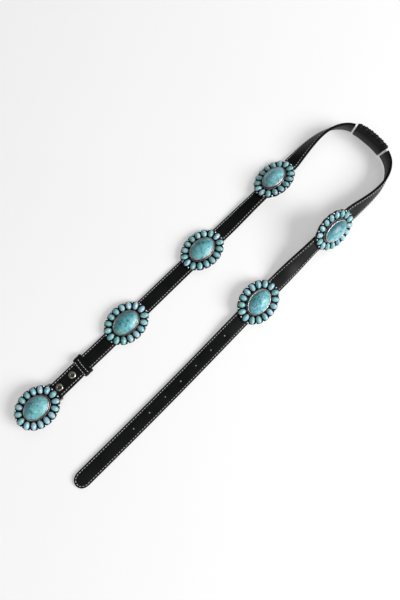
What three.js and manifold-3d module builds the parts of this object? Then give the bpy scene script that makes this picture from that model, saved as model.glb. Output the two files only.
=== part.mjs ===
// Narrow western belt: a black leather strap lying in a long U, its closed end
// standing on edge, with a turquoise cluster buckle and five matching conchos.
// Millimetres, +Z up, +X along the two straights towards the bend.
import * as THREE from 'three';
import * as BufferGeometryUtils from 'three/addons/utils/BufferGeometryUtils.js';
import Module from 'manifold-3d';

const wasm = await Module();
wasm.setup();

// ---------------------------------------------------------------- sizes
const STRAP_WIDTH = 19.5;        // three-quarter inch strap
const STRAP_THICK = 3.0;
const EDGE_CHAMFER = 0.5;
const HOLE_DIA = 3.2;
const HOLE_PITCH = 25.4;
const HOLE_COUNT = 7;
const FIRST_HOLE_X = -8.0;       // the hole nearest the last concho
const TIP_X = -248.9;            // the free end
const TIP_LENGTH = 13.0;         // length over which the end rounds off

const CONCHO_PETALS = 16;
const PETAL_RING = { a: 24.3, b: 18.1 };     // ellipse through the petal centres
const PETAL = { length: 9.8, width: 6.6, height: 3.1 };
const PLATE_THICK = 1.6;
const PLATE_REACH = 5.0;         // plate edge past the petal centres
const PLATE_SCALLOP = 0.6;       // depth of its scalloped edge, plus and minus
const BEZEL_OUT = { a: 18.0, b: 12.9 };
const BEZEL_WALL = 2.0;
const BEZEL_HEIGHT = 4.4;        // above the plate
const STONE_RISE = 7.0;          // stone, from its seat to the top of the dome
const GAP = 0.3;                 // clearance between neighbouring pieces
const STAND_OFF = 0.8;           // plate above the leather, which twists under it

const SCREW = { head: 10.0, headThick: 0.9, barrel: 4.6, recess: 10.8 };

const BUCKLE_X = -220.2;
const BUCKLE_TURN = -4;          // its oval against the strap, degrees
const BUCKLE_STRETCH = { along: 0.945, across: 1.01 };   // the buckle is a little rounder than the conchos
const BUCKLE_BASE_Z = 10.0;      // underside of the buckle plate
const BAR = { x: -194.5, z: 3.6, dia: 2.2, legY: 11.6 };
const HOOK_DIA = 2.6;
const STRAIGHT_Y = 41.5;         // strap line through the buckle

const SNAP_DIA = 9.0;
const SNAP_HOLE = 4.2;
const SNAPS = [{ x: -168.2, proud: 0.2 }, { x: -188.0, proud: 0.55 }];  // proud: cap above the leather
const KEEPER = { x: -152.5, length: 10.9, width: 25.0, wall: 1.9, room: 0.6 };

const SLEEVE = { at: 503.2, length: 45.4, wall: 1.2, slant: 0.17 };   // slant: of its far end, across the strap
const WHITE_BAND = { length: 2.8, wall: 0.8 };

// ------------------------------------------------- route of the strap
// at: distance along the strap from the first row; x, y: place of its middle;
const ROUTE = [
  { at: 0, x: -175, y: 41.5 }, { at: 65, x: -110, y: 41.6 }, { at: 155, x: -20, y: 41.5 },
  { at: 245, x: 70, y: 40.8 }, { at: 295, x: 120, y: 40.3 }, { at: 345, x: 170, y: 40.1 },
  { at: 375, x: 200, y: 40.9 }, { at: 395, x: 220, y: 42.0 }, { at: 415, x: 240, y: 42.7 },
  { at: 433.3, x: 258.1, y: 41.4 }, { at: 448.5, x: 272.7, y: 37.2 }, { at: 464, x: 285.0, y: 28.3 },
  { at: 479, x: 292.5, y: 16.2 }, { at: 493, x: 295.7, y: 3.0 }, { at: 506, x: 296.3, y: -10.0 },
  { at: 518, x: 295.6, y: -21.9 }, { at: 531, x: 292.6, y: -34.3 }, { at: 544, x: 286.6, y: -45.2 },
  { at: 557.5, x: 276.0, y: -53.7 }, { at: 574, x: 260.5, y: -58.8 }, { at: 594.5, x: 239.9, y: -59.6 },
  { at: 617, x: 217.7, y: -57.6 }, { at: 645, x: 189.9, y: -54.4 }, { at: 670, x: 165.0, y: -52.8 },
  { at: 705, x: 130.0, y: -51.8 }, { at: 745, x: 90.0, y: -51.2 }, { at: 795, x: 40.0, y: -51.2 },
  { at: 845, x: -10.0, y: -51.7 }, { at: 905, x: -70.0, y: -52.4 }, { at: 985, x: -150.0, y: -52.5 },
  { at: 1083.9, x: TIP_X, y: -51.6 },
];
// roll: how far the outer face has turned from up (0) to outward (90), degrees;
// level under each concho, whose plate is stiff.
const ROLL = [
  { at: 0, roll: 0 }, { at: 120, roll: 0 }, { at: 190, roll: 4.8 }, { at: 250, roll: 5.2 },
  { at: 317, roll: 22.0 }, { at: 376, roll: 22.4 }, { at: 396, roll: 38 }, { at: 415, roll: 51.5 },
  { at: 433, roll: 62 }, { at: 449, roll: 69 }, { at: 464, roll: 76 }, { at: 482, roll: 84 },
  { at: 500, roll: 90 }, { at: 530, roll: 91 }, { at: 545, roll: 88.5 }, { at: 560, roll: 84 },
  { at: 577, roll: 78.5 }, { at: 595, roll: 71.5 }, { at: 613, roll: 60 }, { at: 633, roll: 46.8 },
  { at: 693, roll: 46.2 }, { at: 714, roll: 36.5 }, { at: 734, roll: 24 }, { at: 753, roll: 11.4 },
  { at: 827, roll: 10.9 }, { at: 853, roll: 4.5 }, { at: 885, roll: 0 }, { at: 1084, roll: 0 },
];
// lift: how far the strap is held off the surface, by the concho whose rim
// touches first or by the sleeve that stands under its edge
const LIFT = [
  { at: 0, lift: 0 }, { at: 262, lift: 0 }, { at: 320, lift: 1.6 }, { at: 374, lift: 1.6 }, { at: 425, lift: 0.3 },
  { at: 447, lift: 0.1 }, { at: 475, lift: 1.64 }, { at: 532, lift: 1.62 },
  { at: 562, lift: 1.2 }, { at: 598, lift: 2.8 }, { at: 634, lift: 7.3 }, { at: 692, lift: 7.3 },
  { at: 728, lift: 2.4 }, { at: 764, lift: 0 }, { at: 814, lift: 0 }, { at: 850, lift: 0 }, { at: 1084, lift: 0 },
];
// the end turned back round the buckle's bar: middle of the leather, thickness
const UNDER_LAYER = [
  { x: -162.5, z: 2.0, thick: 1.8 }, { x: -175, z: 2.0, thick: 1.8 }, { x: -186, z: 2.0, thick: 1.8 },
  { x: -191.2, z: 2.0, thick: 1.8 },
];
const WRAP = { radius: 2.45, thick: 2.1, steps: 8 };
const TOP_LAYER = [
  { x: -190.5, z: 5.45, thick: 2.5 }, { x: -187, z: 5.1, thick: 2.7 }, { x: -182.5, z: 4.85, thick: 3.0 },
  { x: -175, z: 4.8, thick: 3.0 }, { x: -166, z: 4.75, thick: 3.0 }, { x: -160, z: 4.2, thick: 3.0 },
  { x: -156, z: 3.85, thick: 3.0 }, { x: -148, z: 3.75, thick: 3.0 }, { x: -138, z: 2.9, thick: 3.0 },
  { x: -128, z: 1.9, thick: 3.0 }, { x: -118, z: 1.5, thick: 3.0 },
];
// conchos: middle of each along the strap, and how far it has turned on its screw, degrees
const CONCHOS = [
  { name: 'concho_1', at: 92.8, turn: -2 }, { name: 'concho_2', at: 219.8, turn: -2 }, { name: 'concho_3', at: 346.8, turn: 5 },
  { name: 'concho_4', at: 663.0, turn: -6 }, { name: 'concho_5', at: 788.5, turn: 5 },
];

// ------------------------------------------------------------- materials
const paint = (color, roughness, metalness) => () => new THREE.MeshStandardMaterial({ color, roughness, metalness });
const LEATHER = paint(0x15161a, 0.5, 0);
const SILVER = paint(0x8f8880, 0.35, 0.9);
const TURQUOISE = paint(0x4fb3b3, 0.25, 0);
const NICKEL = paint(0x9c968c, 0.3, 0.9);
const SLEEVE_BLACK = paint(0x0c0c0e, 0.6, 0);
const WHITE = paint(0xefefec, 0.7, 0);

// ------------------------------------------------------------- helpers
function toSolid(geometry) {
  const g = geometry.index ? geometry.clone() : geometry.clone();
  g.deleteAttribute('normal');
  g.deleteAttribute('uv');
  const m = BufferGeometryUtils.mergeVertices(g, 1e-5);
  return new wasm.Manifold(new wasm.Mesh({
    numProp: 3,
    vertProperties: Float32Array.from(m.attributes.position.array),
    triVerts: Uint32Array.from(m.index.array),
  }));
}
function toGeometry(solid) {
  const m = solid.getMesh();
  const points = new Float32Array(m.numVert * 3);
  for (let i = 0; i < m.numVert; i++) for (let k = 0; k < 3; k++) points[i * 3 + k] = m.vertProperties[i * m.numProp + k];
  const g = new THREE.BufferGeometry();
  g.setAttribute('position', new THREE.BufferAttribute(points, 3));
  g.setIndex(new THREE.BufferAttribute(Uint32Array.from(m.triVerts), 1));
  g.computeVertexNormals();
  return g;
}
const clampIndex = (xs, x) => {
  let i = 0;
  while (i < xs.length - 2 && x > xs[i + 1]) i++;
  return i;
};
// natural cubic spline through (xs, ys)
function spline(xs, ys) {
  const n = xs.length, m = new Array(n).fill(0), c = new Array(n).fill(0), d = new Array(n).fill(0);
  for (let i = 1; i < n - 1; i++) {
    const h0 = xs[i] - xs[i - 1], h1 = xs[i + 1] - xs[i];
    const r = 6 * ((ys[i + 1] - ys[i]) / h1 - (ys[i] - ys[i - 1]) / h0);
    const w = 2 * (h0 + h1) - h0 * c[i - 1];
    c[i] = h1 / w;
    d[i] = (r - h0 * d[i - 1]) / w;
  }
  for (let i = n - 2; i > 0; i--) m[i] = d[i] - c[i] * m[i + 1];
  return (x) => {
    const i = clampIndex(xs, x), h = xs[i + 1] - xs[i], a = (xs[i + 1] - x) / h, b = (x - xs[i]) / h;
    return a * ys[i] + b * ys[i + 1] + ((a ** 3 - a) * m[i] + (b ** 3 - b) * m[i + 1]) * h * h / 6;
  };
}
// a curve through (xs, ys) that never overshoots
function easing(xs, ys) {
  const n = xs.length, slope = [], t = new Array(n).fill(0);
  for (let i = 0; i < n - 1; i++) slope.push((ys[i + 1] - ys[i]) / (xs[i + 1] - xs[i]));
  for (let i = 1; i < n - 1; i++) if (slope[i - 1] * slope[i] > 0) {
    const h0 = xs[i] - xs[i - 1], h1 = xs[i + 1] - xs[i], w1 = 2 * h1 + h0, w2 = h1 + 2 * h0;
    t[i] = (w1 + w2) / (w1 / slope[i - 1] + w2 / slope[i]);
  }
  return (x) => {
    const q = Math.min(Math.max(x, xs[0]), xs[n - 1]);
    const i = clampIndex(xs, q), h = xs[i + 1] - xs[i], u = (q - xs[i]) / h;
    return ys[i] * (1 + 2 * u) * (1 - u) ** 2 + ys[i + 1] * u * u * (3 - 2 * u) + h * (t[i] * u * (1 - u) ** 2 + t[i + 1] * u * u * (u - 1));
  };
}
const column = (rows, name) => rows.map((r) => r[name]);
const routeX = spline(column(ROUTE, 'at'), column(ROUTE, 'x'));
const routeY = spline(column(ROUTE, 'at'), column(ROUTE, 'y'));
const rollAt = easing(column(ROLL, 'at'), column(ROLL, 'roll'));
const liftAt = easing(column(LIFT, 'at'), column(LIFT, 'lift'));
const topZ = easing(column(TOP_LAYER, 'x'), column(TOP_LAYER, 'z'));
const topThick = easing(column(TOP_LAYER, 'x'), column(TOP_LAYER, 'thick'));
const END_AT = ROUTE[ROUTE.length - 1].at;

// middle of the strap at a distance along it: it rests on its lowest corner
function middle(at) {
  const x = routeX(at), y = routeY(at), r = rollAt(at) * Math.PI / 180;
  let z = STRAP_WIDTH / 2 * Math.sin(r) + STRAP_THICK / 2 * Math.abs(Math.cos(r)) + liftAt(at);
  if (at < 100 && x < TOP_LAYER[TOP_LAYER.length - 1].x) z = topZ(x);
  return new THREE.Vector3(x, y, z);
}
// along, out (the stitched face) and across (towards the inside of the U)
function frameAt(at) {
  const e = 0.5, p = middle(at);
  const along = middle(Math.min(at + e, END_AT)).sub(middle(at - e)).normalize();
  const side = new THREE.Vector3(-along.y, along.x, 0).normalize();
  const r = rollAt(at) * Math.PI / 180;
  const out = new THREE.Vector3(0, 0, Math.cos(r)).addScaledVector(side, Math.sin(r));
  out.addScaledVector(along, -out.dot(along)).normalize();
  const across = new THREE.Vector3().crossVectors(along, out);
  return { p, along, out, across };
}
// closed solid through rectangular sections with cut corners
function sweep(sections) {
  const ring = 8, points = [], index = [];
  for (const s of sections) {
    const w = s.width / 2, t = s.thick / 2, c = Math.min(EDGE_CHAMFER * (s.chamfer ?? 1), w * 0.6, t * 0.6);
    const corners = [[w - c, t], [w, t - c], [w, -t + c], [w - c, -t], [-w + c, -t], [-w, -t + c], [-w, t - c], [-w + c, t]];
    for (const [a, b] of corners) {
      const v = s.p.clone().addScaledVector(s.across, a).addScaledVector(s.out, b);
      points.push(v.x, v.y, v.z);
    }
  }
  const n = sections.length;
  for (let i = 0; i < n - 1; i++) for (let k = 0; k < ring; k++) {
    const a = i * ring + k, b = i * ring + (k + 1) % ring, c = a + ring, d = b + ring;
    index.push(a, b, c, b, d, c);
  }
  for (let k = 1; k < ring - 1; k++) {
    index.push(0, k + 1, k);
    const e = (n - 1) * ring;
    index.push(e, e + k, e + k + 1);
  }
  const g = new THREE.BufferGeometry();
  g.setAttribute('position', new THREE.BufferAttribute(new Float32Array(points), 3));
  g.setIndex(index);
  return g;
}
// place a shape built with +X along, +Y across to the outside and +Z out
function placed(geometry, frame, offset) {
  const m = new THREE.Matrix4().makeBasis(frame.along, frame.across.clone().negate(), frame.out);
  m.setPosition(frame.p.clone().addScaledVector(frame.out, offset));
  return geometry.clone().applyMatrix4(m);
}
function pin(dia, length, centre, direction, sides = 12) {
  const g = new THREE.CylinderGeometry(dia / 2, dia / 2, length, sides);
  g.applyQuaternion(new THREE.Quaternion().setFromUnitVectors(new THREE.Vector3(0, 1, 0), direction.clone().normalize()));
  g.translate(centre.x, centre.y, centre.z);
  return g;
}

// ------------------------------------------------------------- the strap
function strapSections() {
  const out = [];
  const y = STRAIGHT_Y, across = new THREE.Vector3(0, -1, 0);
  const line = [];
  for (const r of UNDER_LAYER) line.push({ x: r.x, z: r.z, thick: r.thick });
  for (let i = 0; i <= WRAP.steps; i++) {
    const a = -Math.PI / 2 - Math.PI * i / WRAP.steps;
    line.push({ x: BAR.x + WRAP.radius * Math.cos(a), z: BAR.z + WRAP.radius * Math.sin(a), thick: i === 0 ? 1.9 : WRAP.thick });
  }
  for (const r of TOP_LAYER) if (r.x < -176) line.push({ x: r.x, z: r.z, thick: r.thick });
  line.forEach((q, i) => {
    const a = line[Math.max(i - 1, 0)], b = line[Math.min(i + 1, line.length - 1)];
    const d = new THREE.Vector3(b.x - a.x, 0, b.z - a.z).normalize();
    if (i === line.length - 1) d.set(1, 0, 0);
    out.push({ p: new THREE.Vector3(q.x, y, q.z), across, out: new THREE.Vector3(-d.z, 0, d.x), width: STRAP_WIDTH, thick: q.thick });
  });
  let at = 0;
  while (at < END_AT - TIP_LENGTH) {
    const f = frameAt(at);
    const thick = f.p.x < -118 && at < 100 ? topThick(f.p.x) : STRAP_THICK;
    out.push({ ...f, width: STRAP_WIDTH, thick });
    const inBend = at > 380 && at < 640;
    at += at < 60 ? 8 : inBend ? 6 : 20;
  }
  for (const u of [0, 0.35, 0.58, 0.75, 0.87, 0.945, 0.985, 1]) {
    const f = frameAt(END_AT - TIP_LENGTH * (1 - u));
    const w = STRAP_WIDTH * Math.sqrt(Math.max(1 - u ** 2.5, 0.012));
    out.push({ ...f, width: w, thick: STRAP_THICK });
  }
  return out;
}
let strap = toSolid(sweep(strapSections()));
const UP = new THREE.Vector3(0, 0, 1);
for (let i = 0; i < HOLE_COUNT; i++) {
  const x = FIRST_HOLE_X - i * HOLE_PITCH;
  let at = 845;
  while (routeX(at) > x) at += 0.1;
  const f = frameAt(at);
  strap = strap.subtract(toSolid(pin(HOLE_DIA, 10, f.p, f.out, 14)));
}
for (const c of CONCHOS) {
  const f = frameAt(c.at);
  strap = strap.subtract(toSolid(pin(SCREW.barrel + 2 * GAP, 10, f.p, f.out)));
  const seat = f.p.clone().addScaledVector(f.out, -STRAP_THICK / 2);
  strap = strap.subtract(toSolid(pin(SCREW.recess, 2 * (SCREW.headThick + GAP), seat, f.out, 16)));
}
for (const { x } of SNAPS) strap = strap.subtract(toSolid(pin(SNAP_HOLE, 20, new THREE.Vector3(x, STRAIGHT_Y, 4), UP)));

// ------------------------------------------------------------- a concho
// even spacing round the ring of petal centres
function ringPlaces(count, phase = 0) {
  const { a, b } = PETAL_RING, fine = 2000, walked = [0];
  for (let i = 1; i <= fine; i++) {
    const t0 = (i - 1) / fine * 2 * Math.PI, t1 = i / fine * 2 * Math.PI;
    walked.push(walked[i - 1] + Math.hypot(a * (Math.cos(t1) - Math.cos(t0)), b * (Math.sin(t1) - Math.sin(t0))));
  }
  const places = [];
  for (let k = 0; k < count; k++) {
    const want = ((k + phase) / count) * walked[fine];
    let i = 0;
    while (walked[i + 1] < want) i++;
    const t = (i + (want - walked[i]) / (walked[i + 1] - walked[i])) / fine * 2 * Math.PI;
    const n = new THREE.Vector2(Math.cos(t) / a, Math.sin(t) / b).normalize();
    places.push({ x: a * Math.cos(t), y: b * Math.sin(t), nx: n.x, ny: n.y });
  }
  return places;
}
function ellipseShape(a, b, sides) {
  const s = new THREE.Shape();
  for (let i = 0; i < sides; i++) {
    const t = i / sides * 2 * Math.PI;
    i === 0 ? s.moveTo(a, 0) : s.lineTo(a * Math.cos(t), b * Math.sin(t));
  }
  s.closePath();
  return s;
}
function slab(shape, depth, z) {
  const g = new THREE.ExtrudeGeometry(shape, { depth, bevelEnabled: false, curveSegments: 1 });
  g.translate(0, 0, z);
  return g;
}
function ringSlab(outA, outB, inA, inB, sides, depth, z) {
  return toSolid(slab(ellipseShape(outA, outB, sides), depth, z)).subtract(toSolid(slab(ellipseShape(inA, inB, sides), depth + 2, z - 1)));
}
function settingSolid() {
  const per = 3, edge = ringPlaces(CONCHO_PETALS * per);
  const shape = new THREE.Shape();
  edge.forEach((q, i) => {
    const reach = PLATE_REACH - PLATE_SCALLOP + PLATE_SCALLOP * Math.cos(2 * Math.PI * i / per);
    const x = q.x + q.nx * reach, y = q.y + q.ny * reach;
    i === 0 ? shape.moveTo(x, y) : shape.lineTo(x, y);
  });
  shape.closePath();
  const plate = toSolid(slab(shape, PLATE_THICK, 0));
  const bezel = ringSlab(BEZEL_OUT.a, BEZEL_OUT.b, BEZEL_OUT.a - BEZEL_WALL, BEZEL_OUT.b - BEZEL_WALL, 24, BEZEL_HEIGHT + 0.4, PLATE_THICK - 0.4);
  return plate.add(bezel);
}
function domeGeometry(profile, sides, a, b) {
  const g = new THREE.LatheGeometry(profile.map(([r, z]) => new THREE.Vector2(r, z)), sides);
  g.rotateX(Math.PI / 2);
  g.scale(a, b, 1);
  return g;
}
function petalsSolid() {
  const z = PLATE_THICK + GAP, h = PETAL.height;
  let ring = ringSlab(PETAL_RING.a + 0.5, PETAL_RING.b + 0.5, BEZEL_OUT.a + 0.5, BEZEL_OUT.b + 0.5, 24, 0.5, z);
  for (const q of ringPlaces(CONCHO_PETALS)) {
    const dome = domeGeometry([[0, 0], [1, 0], [0.86, h * 0.62], [0, h]], 7, PETAL.length / 2, PETAL.width / 2);
    dome.rotateZ(Math.atan2(q.ny, q.nx));
    dome.translate(q.x, q.y, z);
    ring = ring.add(toSolid(dome));
  }
  return ring;
}
function stoneGeometry() {
  const a = BEZEL_OUT.a - BEZEL_WALL - GAP, b = BEZEL_OUT.b - BEZEL_WALL - GAP, h = STONE_RISE;
  const g = domeGeometry([[0, 0], [1, 0], [1, h * 0.42], [0.8, h * 0.74], [0.45, h * 0.94], [0, h]], 20, a, b);
  g.translate(0, 0, PLATE_THICK + GAP);
  return g;
}
function screwGeometry() {
  const from = -(STRAP_THICK + STAND_OFF) + 0.15, r = SCREW.barrel / 2, R = SCREW.head / 2;
  const profile = [[0, from], [R - 0.3, from], [R, from + 0.3], [R, from + SCREW.headThick], [r, from + SCREW.headThick], [r, -GAP], [0, -GAP]];
  return domeGeometry(profile, 12, 1, 1);
}
const settingBase = settingSolid(), petalsBase = toGeometry(petalsSolid()), stoneBase = stoneGeometry(), screwBase = screwGeometry();

const belt = new THREE.Group();
function addPiece(name, geometry, material) {
  const mesh = new THREE.Mesh(geometry, material());
  mesh.name = name;
  belt.add(mesh);
  return mesh;
}
addPiece('strap', toGeometry(strap), LEATHER);
for (const c of CONCHOS) {
  const f = frameAt(c.at), seat = STRAP_THICK / 2 + STAND_OFF;
  const turned = (g) => placed(g.clone().rotateZ(c.turn * Math.PI / 180), f, seat);
  addPiece(`${c.name}_setting`, turned(toGeometry(settingBase)), SILVER);
  addPiece(`${c.name}_stone`, turned(stoneBase), TURQUOISE);
  addPiece(`${c.name}_petals`, turned(petalsBase), TURQUOISE);
  addPiece(`${c.name}_screw`, placed(screwBase, f, seat), NICKEL);
}

// ------------------------------------------------------------- the buckle
function wire(points, dia, steps) {
  const round = new THREE.Shape();
  for (let i = 0; i < 8; i++) {
    const t = (i + 0.5) / 8 * 2 * Math.PI, x = dia / 2 * Math.cos(t), y = dia / 2 * Math.sin(t);
    i === 0 ? round.moveTo(x, y) : round.lineTo(x, y);
  }
  round.closePath();
  const path = new THREE.CatmullRomCurve3(points.map((p) => new THREE.Vector3(...p)), false, 'centripetal');
  return toSolid(new THREE.ExtrudeGeometry(round, { steps, extrudePath: path, bevelEnabled: false }));
}
const barX = BAR.x - BUCKLE_X, barZ = BAR.z - BUCKLE_BASE_Z, legY = BAR.legY;
const loop = wire([
  [22.3, legY, 0.7], [23.2, legY, -1.5], [24.6, legY, barZ + 1.8], [barX, legY - 0.35, barZ + 0.35], [barX, legY - 1.9, barZ],
  [barX, 4, barZ], [barX, -4, barZ],
  [barX, -legY + 1.9, barZ], [barX, -legY + 0.35, barZ + 0.35], [24.6, -legY, barZ + 1.8], [23.2, -legY, -1.5], [22.3, -legY, 0.7],
], BAR.dia, 30);
const hookBottom = -BUCKLE_BASE_Z + HOOK_DIA / 2 * Math.cos(Math.PI / 8) + 0.06;
const hook = wire([[-13.5, 0, 0.6], [-13.8, 0, -3.5], [-15.0, 0, -6.8], [-17.8, 0, hookBottom + 0.1], [-21, 0, hookBottom], [-25, 0, hookBottom]], HOOK_DIA, 14);
const rounder = [BUCKLE_STRETCH.along, BUCKLE_STRETCH.across, 1];
const buckleSetting = toGeometry(settingBase.scale(rounder).rotate([0, 0, BUCKLE_TURN]).add(loop).add(hook));
const buckleFrame = {
  p: new THREE.Vector3(BUCKLE_X, STRAIGHT_Y, BUCKLE_BASE_Z),
  along: new THREE.Vector3(1, 0, 0), out: new THREE.Vector3(0, 0, 1), across: new THREE.Vector3(0, -1, 0),
};
addPiece('buckle_setting', placed(buckleSetting, buckleFrame, 0), SILVER);
const asBuckle = (g) => placed(g.clone().scale(...rounder).rotateZ(BUCKLE_TURN * Math.PI / 180), buckleFrame, 0);
addPiece('buckle_stone', asBuckle(stoneBase), TURQUOISE);
addPiece('buckle_petals', asBuckle(petalsBase), TURQUOISE);

// ------------------------------------------------------------- the snaps
SNAPS.forEach(({ x, proud }, i) => {
  const top = topZ(x) + topThick(x) / 2 + proud, r = SNAP_DIA / 2, stem = 1.7;
  const low = topZ(x) - topThick(x) / 2 + 0.2;
  const cap = domeGeometry([[0, low], [stem, low], [stem, top], [r, top], [r - 0.1, top + 0.6], [r - 1.1, top + 1.4], [r - 2.2, top + 1.6], [1.5, top + 1.2], [0, top + 1.05]], 14, 1, 1);
  const stud = domeGeometry([[0, 0], [r - 1.2, 0], [r - 0.9, 0.3], [r - 0.9, 0.8], [stem, 0.8], [stem, low - 0.3], [0, low - 0.3]], 14, 1, 1);
  cap.translate(x, STRAIGHT_Y, 0);
  stud.translate(x, STRAIGHT_Y, 0);
  addPiece(`snap_${i + 1}_cap`, cap, NICKEL);
  addPiece(`snap_${i + 1}_stud`, stud, NICKEL);
});

// ------------------------------------------------------------- the keeper
function roundedRect(w, h, r, sides) {
  const s = new THREE.Shape();
  const corners = [[w / 2 - r, h / 2 - r, 0], [-w / 2 + r, h / 2 - r, 1], [-w / 2 + r, -h / 2 + r, 2], [w / 2 - r, -h / 2 + r, 3]];
  let first = true;
  for (const [cx, cy, q] of corners) for (let i = 0; i <= sides; i++) {
    const t = (q + i / sides) * Math.PI / 2, x = cx + r * Math.cos(t), y = cy + r * Math.sin(t);
    first ? s.moveTo(x, y) : s.lineTo(x, y);
    first = false;
  }
  s.closePath();
  return s;
}
const keeperHeight = 2 * KEEPER.wall + GAP + STRAP_THICK + KEEPER.room;
const keeperOuter = new THREE.ExtrudeGeometry(roundedRect(KEEPER.width, keeperHeight, 2.6, 4), { depth: KEEPER.length, bevelEnabled: false });
const keeperInner = new THREE.ExtrudeGeometry(roundedRect(KEEPER.width - 2 * KEEPER.wall, keeperHeight - 2 * KEEPER.wall, 0.9, 2), { depth: KEEPER.length + 2, bevelEnabled: false });
keeperInner.translate(0, 0, -1);
const keeper = toGeometry(toSolid(keeperOuter).subtract(toSolid(keeperInner)));
keeper.applyMatrix4(new THREE.Matrix4().makeBasis(new THREE.Vector3(0, 1, 0), UP, new THREE.Vector3(1, 0, 0)));
keeper.translate(KEEPER.x - KEEPER.length / 2, STRAIGHT_Y, keeperHeight / 2);
addPiece('keeper', keeper, LEATHER);

// ------------------------------------- the sleeve at the centre of the back
function tubeRound(from, to, clear, wall, steps) {
  const rows = (grow, extra) => {
    const out = [];
    for (let i = 0; i <= steps; i++) {
      const at = from - extra + (to - from + 2 * extra) * i / steps, f = frameAt(at);
      const slant = SLEEVE.slant * Math.min(Math.max((at - SLEEVE.at) / (SLEEVE.length / 2), 0), 1);
      f.across.addScaledVector(f.along, slant);
      out.push({ ...f, width: STRAP_WIDTH + 2 * (clear + grow), thick: STRAP_THICK + 2 * (clear + grow) });
    }
    return out;
  };
  return toGeometry(toSolid(sweep(rows(wall, 0))).subtract(toSolid(sweep(rows(0, 1)))));
}
const half = SLEEVE.length / 2;
addPiece('centre_sleeve', tubeRound(SLEEVE.at - half, SLEEVE.at + half, GAP, SLEEVE.wall, 9), SLEEVE_BLACK);
addPiece('white_band_1', tubeRound(SLEEVE.at - half - GAP - WHITE_BAND.length, SLEEVE.at - half - GAP, GAP, WHITE_BAND.wall, 1), WHITE);
addPiece('white_band_2', tubeRound(SLEEVE.at + half + GAP, SLEEVE.at + half + GAP + WHITE_BAND.length, GAP, WHITE_BAND.wall, 1), WHITE);

// origin under the middle of the whole belt, on the surface it lies on
const box = new THREE.Box3().setFromObject(belt);
belt.position.set(-(box.min.x + box.max.x) / 2, -(box.min.y + box.max.y) / 2, -box.min.z);

export default belt;
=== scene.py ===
import math
import random

import bmesh
import bpy
import numpy as np
from mathutils import Matrix, Vector
from mathutils.kdtree import KDTree


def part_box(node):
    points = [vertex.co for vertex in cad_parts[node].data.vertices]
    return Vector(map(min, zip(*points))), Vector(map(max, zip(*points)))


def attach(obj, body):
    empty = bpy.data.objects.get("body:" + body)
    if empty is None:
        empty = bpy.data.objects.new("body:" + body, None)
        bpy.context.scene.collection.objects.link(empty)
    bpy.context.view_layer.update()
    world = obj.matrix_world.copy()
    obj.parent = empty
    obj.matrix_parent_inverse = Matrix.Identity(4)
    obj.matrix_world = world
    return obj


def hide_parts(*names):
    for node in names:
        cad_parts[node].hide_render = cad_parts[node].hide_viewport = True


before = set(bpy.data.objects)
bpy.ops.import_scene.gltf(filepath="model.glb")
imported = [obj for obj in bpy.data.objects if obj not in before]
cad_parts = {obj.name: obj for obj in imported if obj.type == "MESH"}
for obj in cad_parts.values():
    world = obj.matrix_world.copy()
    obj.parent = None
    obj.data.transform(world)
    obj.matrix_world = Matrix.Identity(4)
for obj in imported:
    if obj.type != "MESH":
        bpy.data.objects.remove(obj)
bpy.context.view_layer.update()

# ------------------------------------------------------------------ sizes, mm
STRAP_WIDTH, STRAP_THICK = 19.5, 3.0
HOLE_DIA, HOLE_PITCH, HOLE_COUNT, FIRST_HOLE_X = 3.2, 25.4, 7, -8.0
TIP_X, TIP_LENGTH = -248.9, 13.0
PETALS = 16
RING_A, RING_B = 24.3, 18.1
PLATE_THICK = 1.6
BEZEL_A, BEZEL_B = 18.0, 12.9
STAND_OFF = 0.8
BUCKLE_X, BUCKLE_Z, STRAIGHT_Y = -220.2, 10.0, 41.5
BUCKLE_STRETCH = np.array([0.945, 1.01, 1.0])     # the buckle is a little rounder than the conchos
BAR_X, BAR_Z, BAR_DIA, LEG_Y = -194.5, 3.6, 2.2, 11.6
HOOK_DIA = 2.6
SNAP_DIA, SNAP_HOLE = 9.0, 4.2
SNAPS = [(-168.2, 0.2), (-188.0, 0.55)]
KEEPER_X, KEEPER_LENGTH, KEEPER_WIDTH, KEEPER_WALL = -152.5, 10.9, 25.0, 1.9
KEEPER_HEIGHT = 2 * KEEPER_WALL + 0.3 + STRAP_THICK + 0.6
SLEEVE_AT, SLEEVE_LENGTH, SLEEVE_WALL, SLEEVE_SLANT = 503.2, 45.4, 1.2, 0.17
BAND_LENGTH, BAND_WALL = 2.8, 0.8
GAP = 0.3

# the same route, roll and lift as the CAD strap: (distance along, x, y)
ROUTE = [
    (0, -175, 41.5), (65, -110, 41.6), (155, -20, 41.5), (245, 70, 40.8), (295, 120, 40.3), (345, 170, 40.1),
    (375, 200, 40.9), (395, 220, 42.0), (415, 240, 42.7), (433.3, 258.1, 41.4), (448.5, 272.7, 37.2), (464, 285.0, 28.3),
    (479, 292.5, 16.2), (493, 295.7, 3.0), (506, 296.3, -10.0), (518, 295.6, -21.9), (531, 292.6, -34.3), (544, 286.6, -45.2),
    (557.5, 276.0, -53.7), (574, 260.5, -58.8), (594.5, 239.9, -59.6), (617, 217.7, -57.6), (645, 189.9, -54.4), (670, 165.0, -52.8),
    (705, 130.0, -51.8), (745, 90.0, -51.2), (795, 40.0, -51.2), (845, -10.0, -51.7), (905, -70.0, -52.4), (985, -150.0, -52.5),
    (1083.9, TIP_X, -51.6),
]
ROLL = [
    (0, 0), (120, 0), (190, 4.8), (250, 5.2), (317, 22.0), (376, 22.4), (396, 38), (415, 51.5), (433, 62), (449, 69),
    (464, 76), (482, 84), (500, 90), (530, 91), (545, 88.5), (560, 84), (577, 78.5), (595, 71.5), (613, 60), (633, 46.8),
    (693, 46.2), (714, 36.5), (734, 24), (753, 11.4), (827, 10.9), (853, 4.5), (885, 0), (1084, 0),
]
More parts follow.
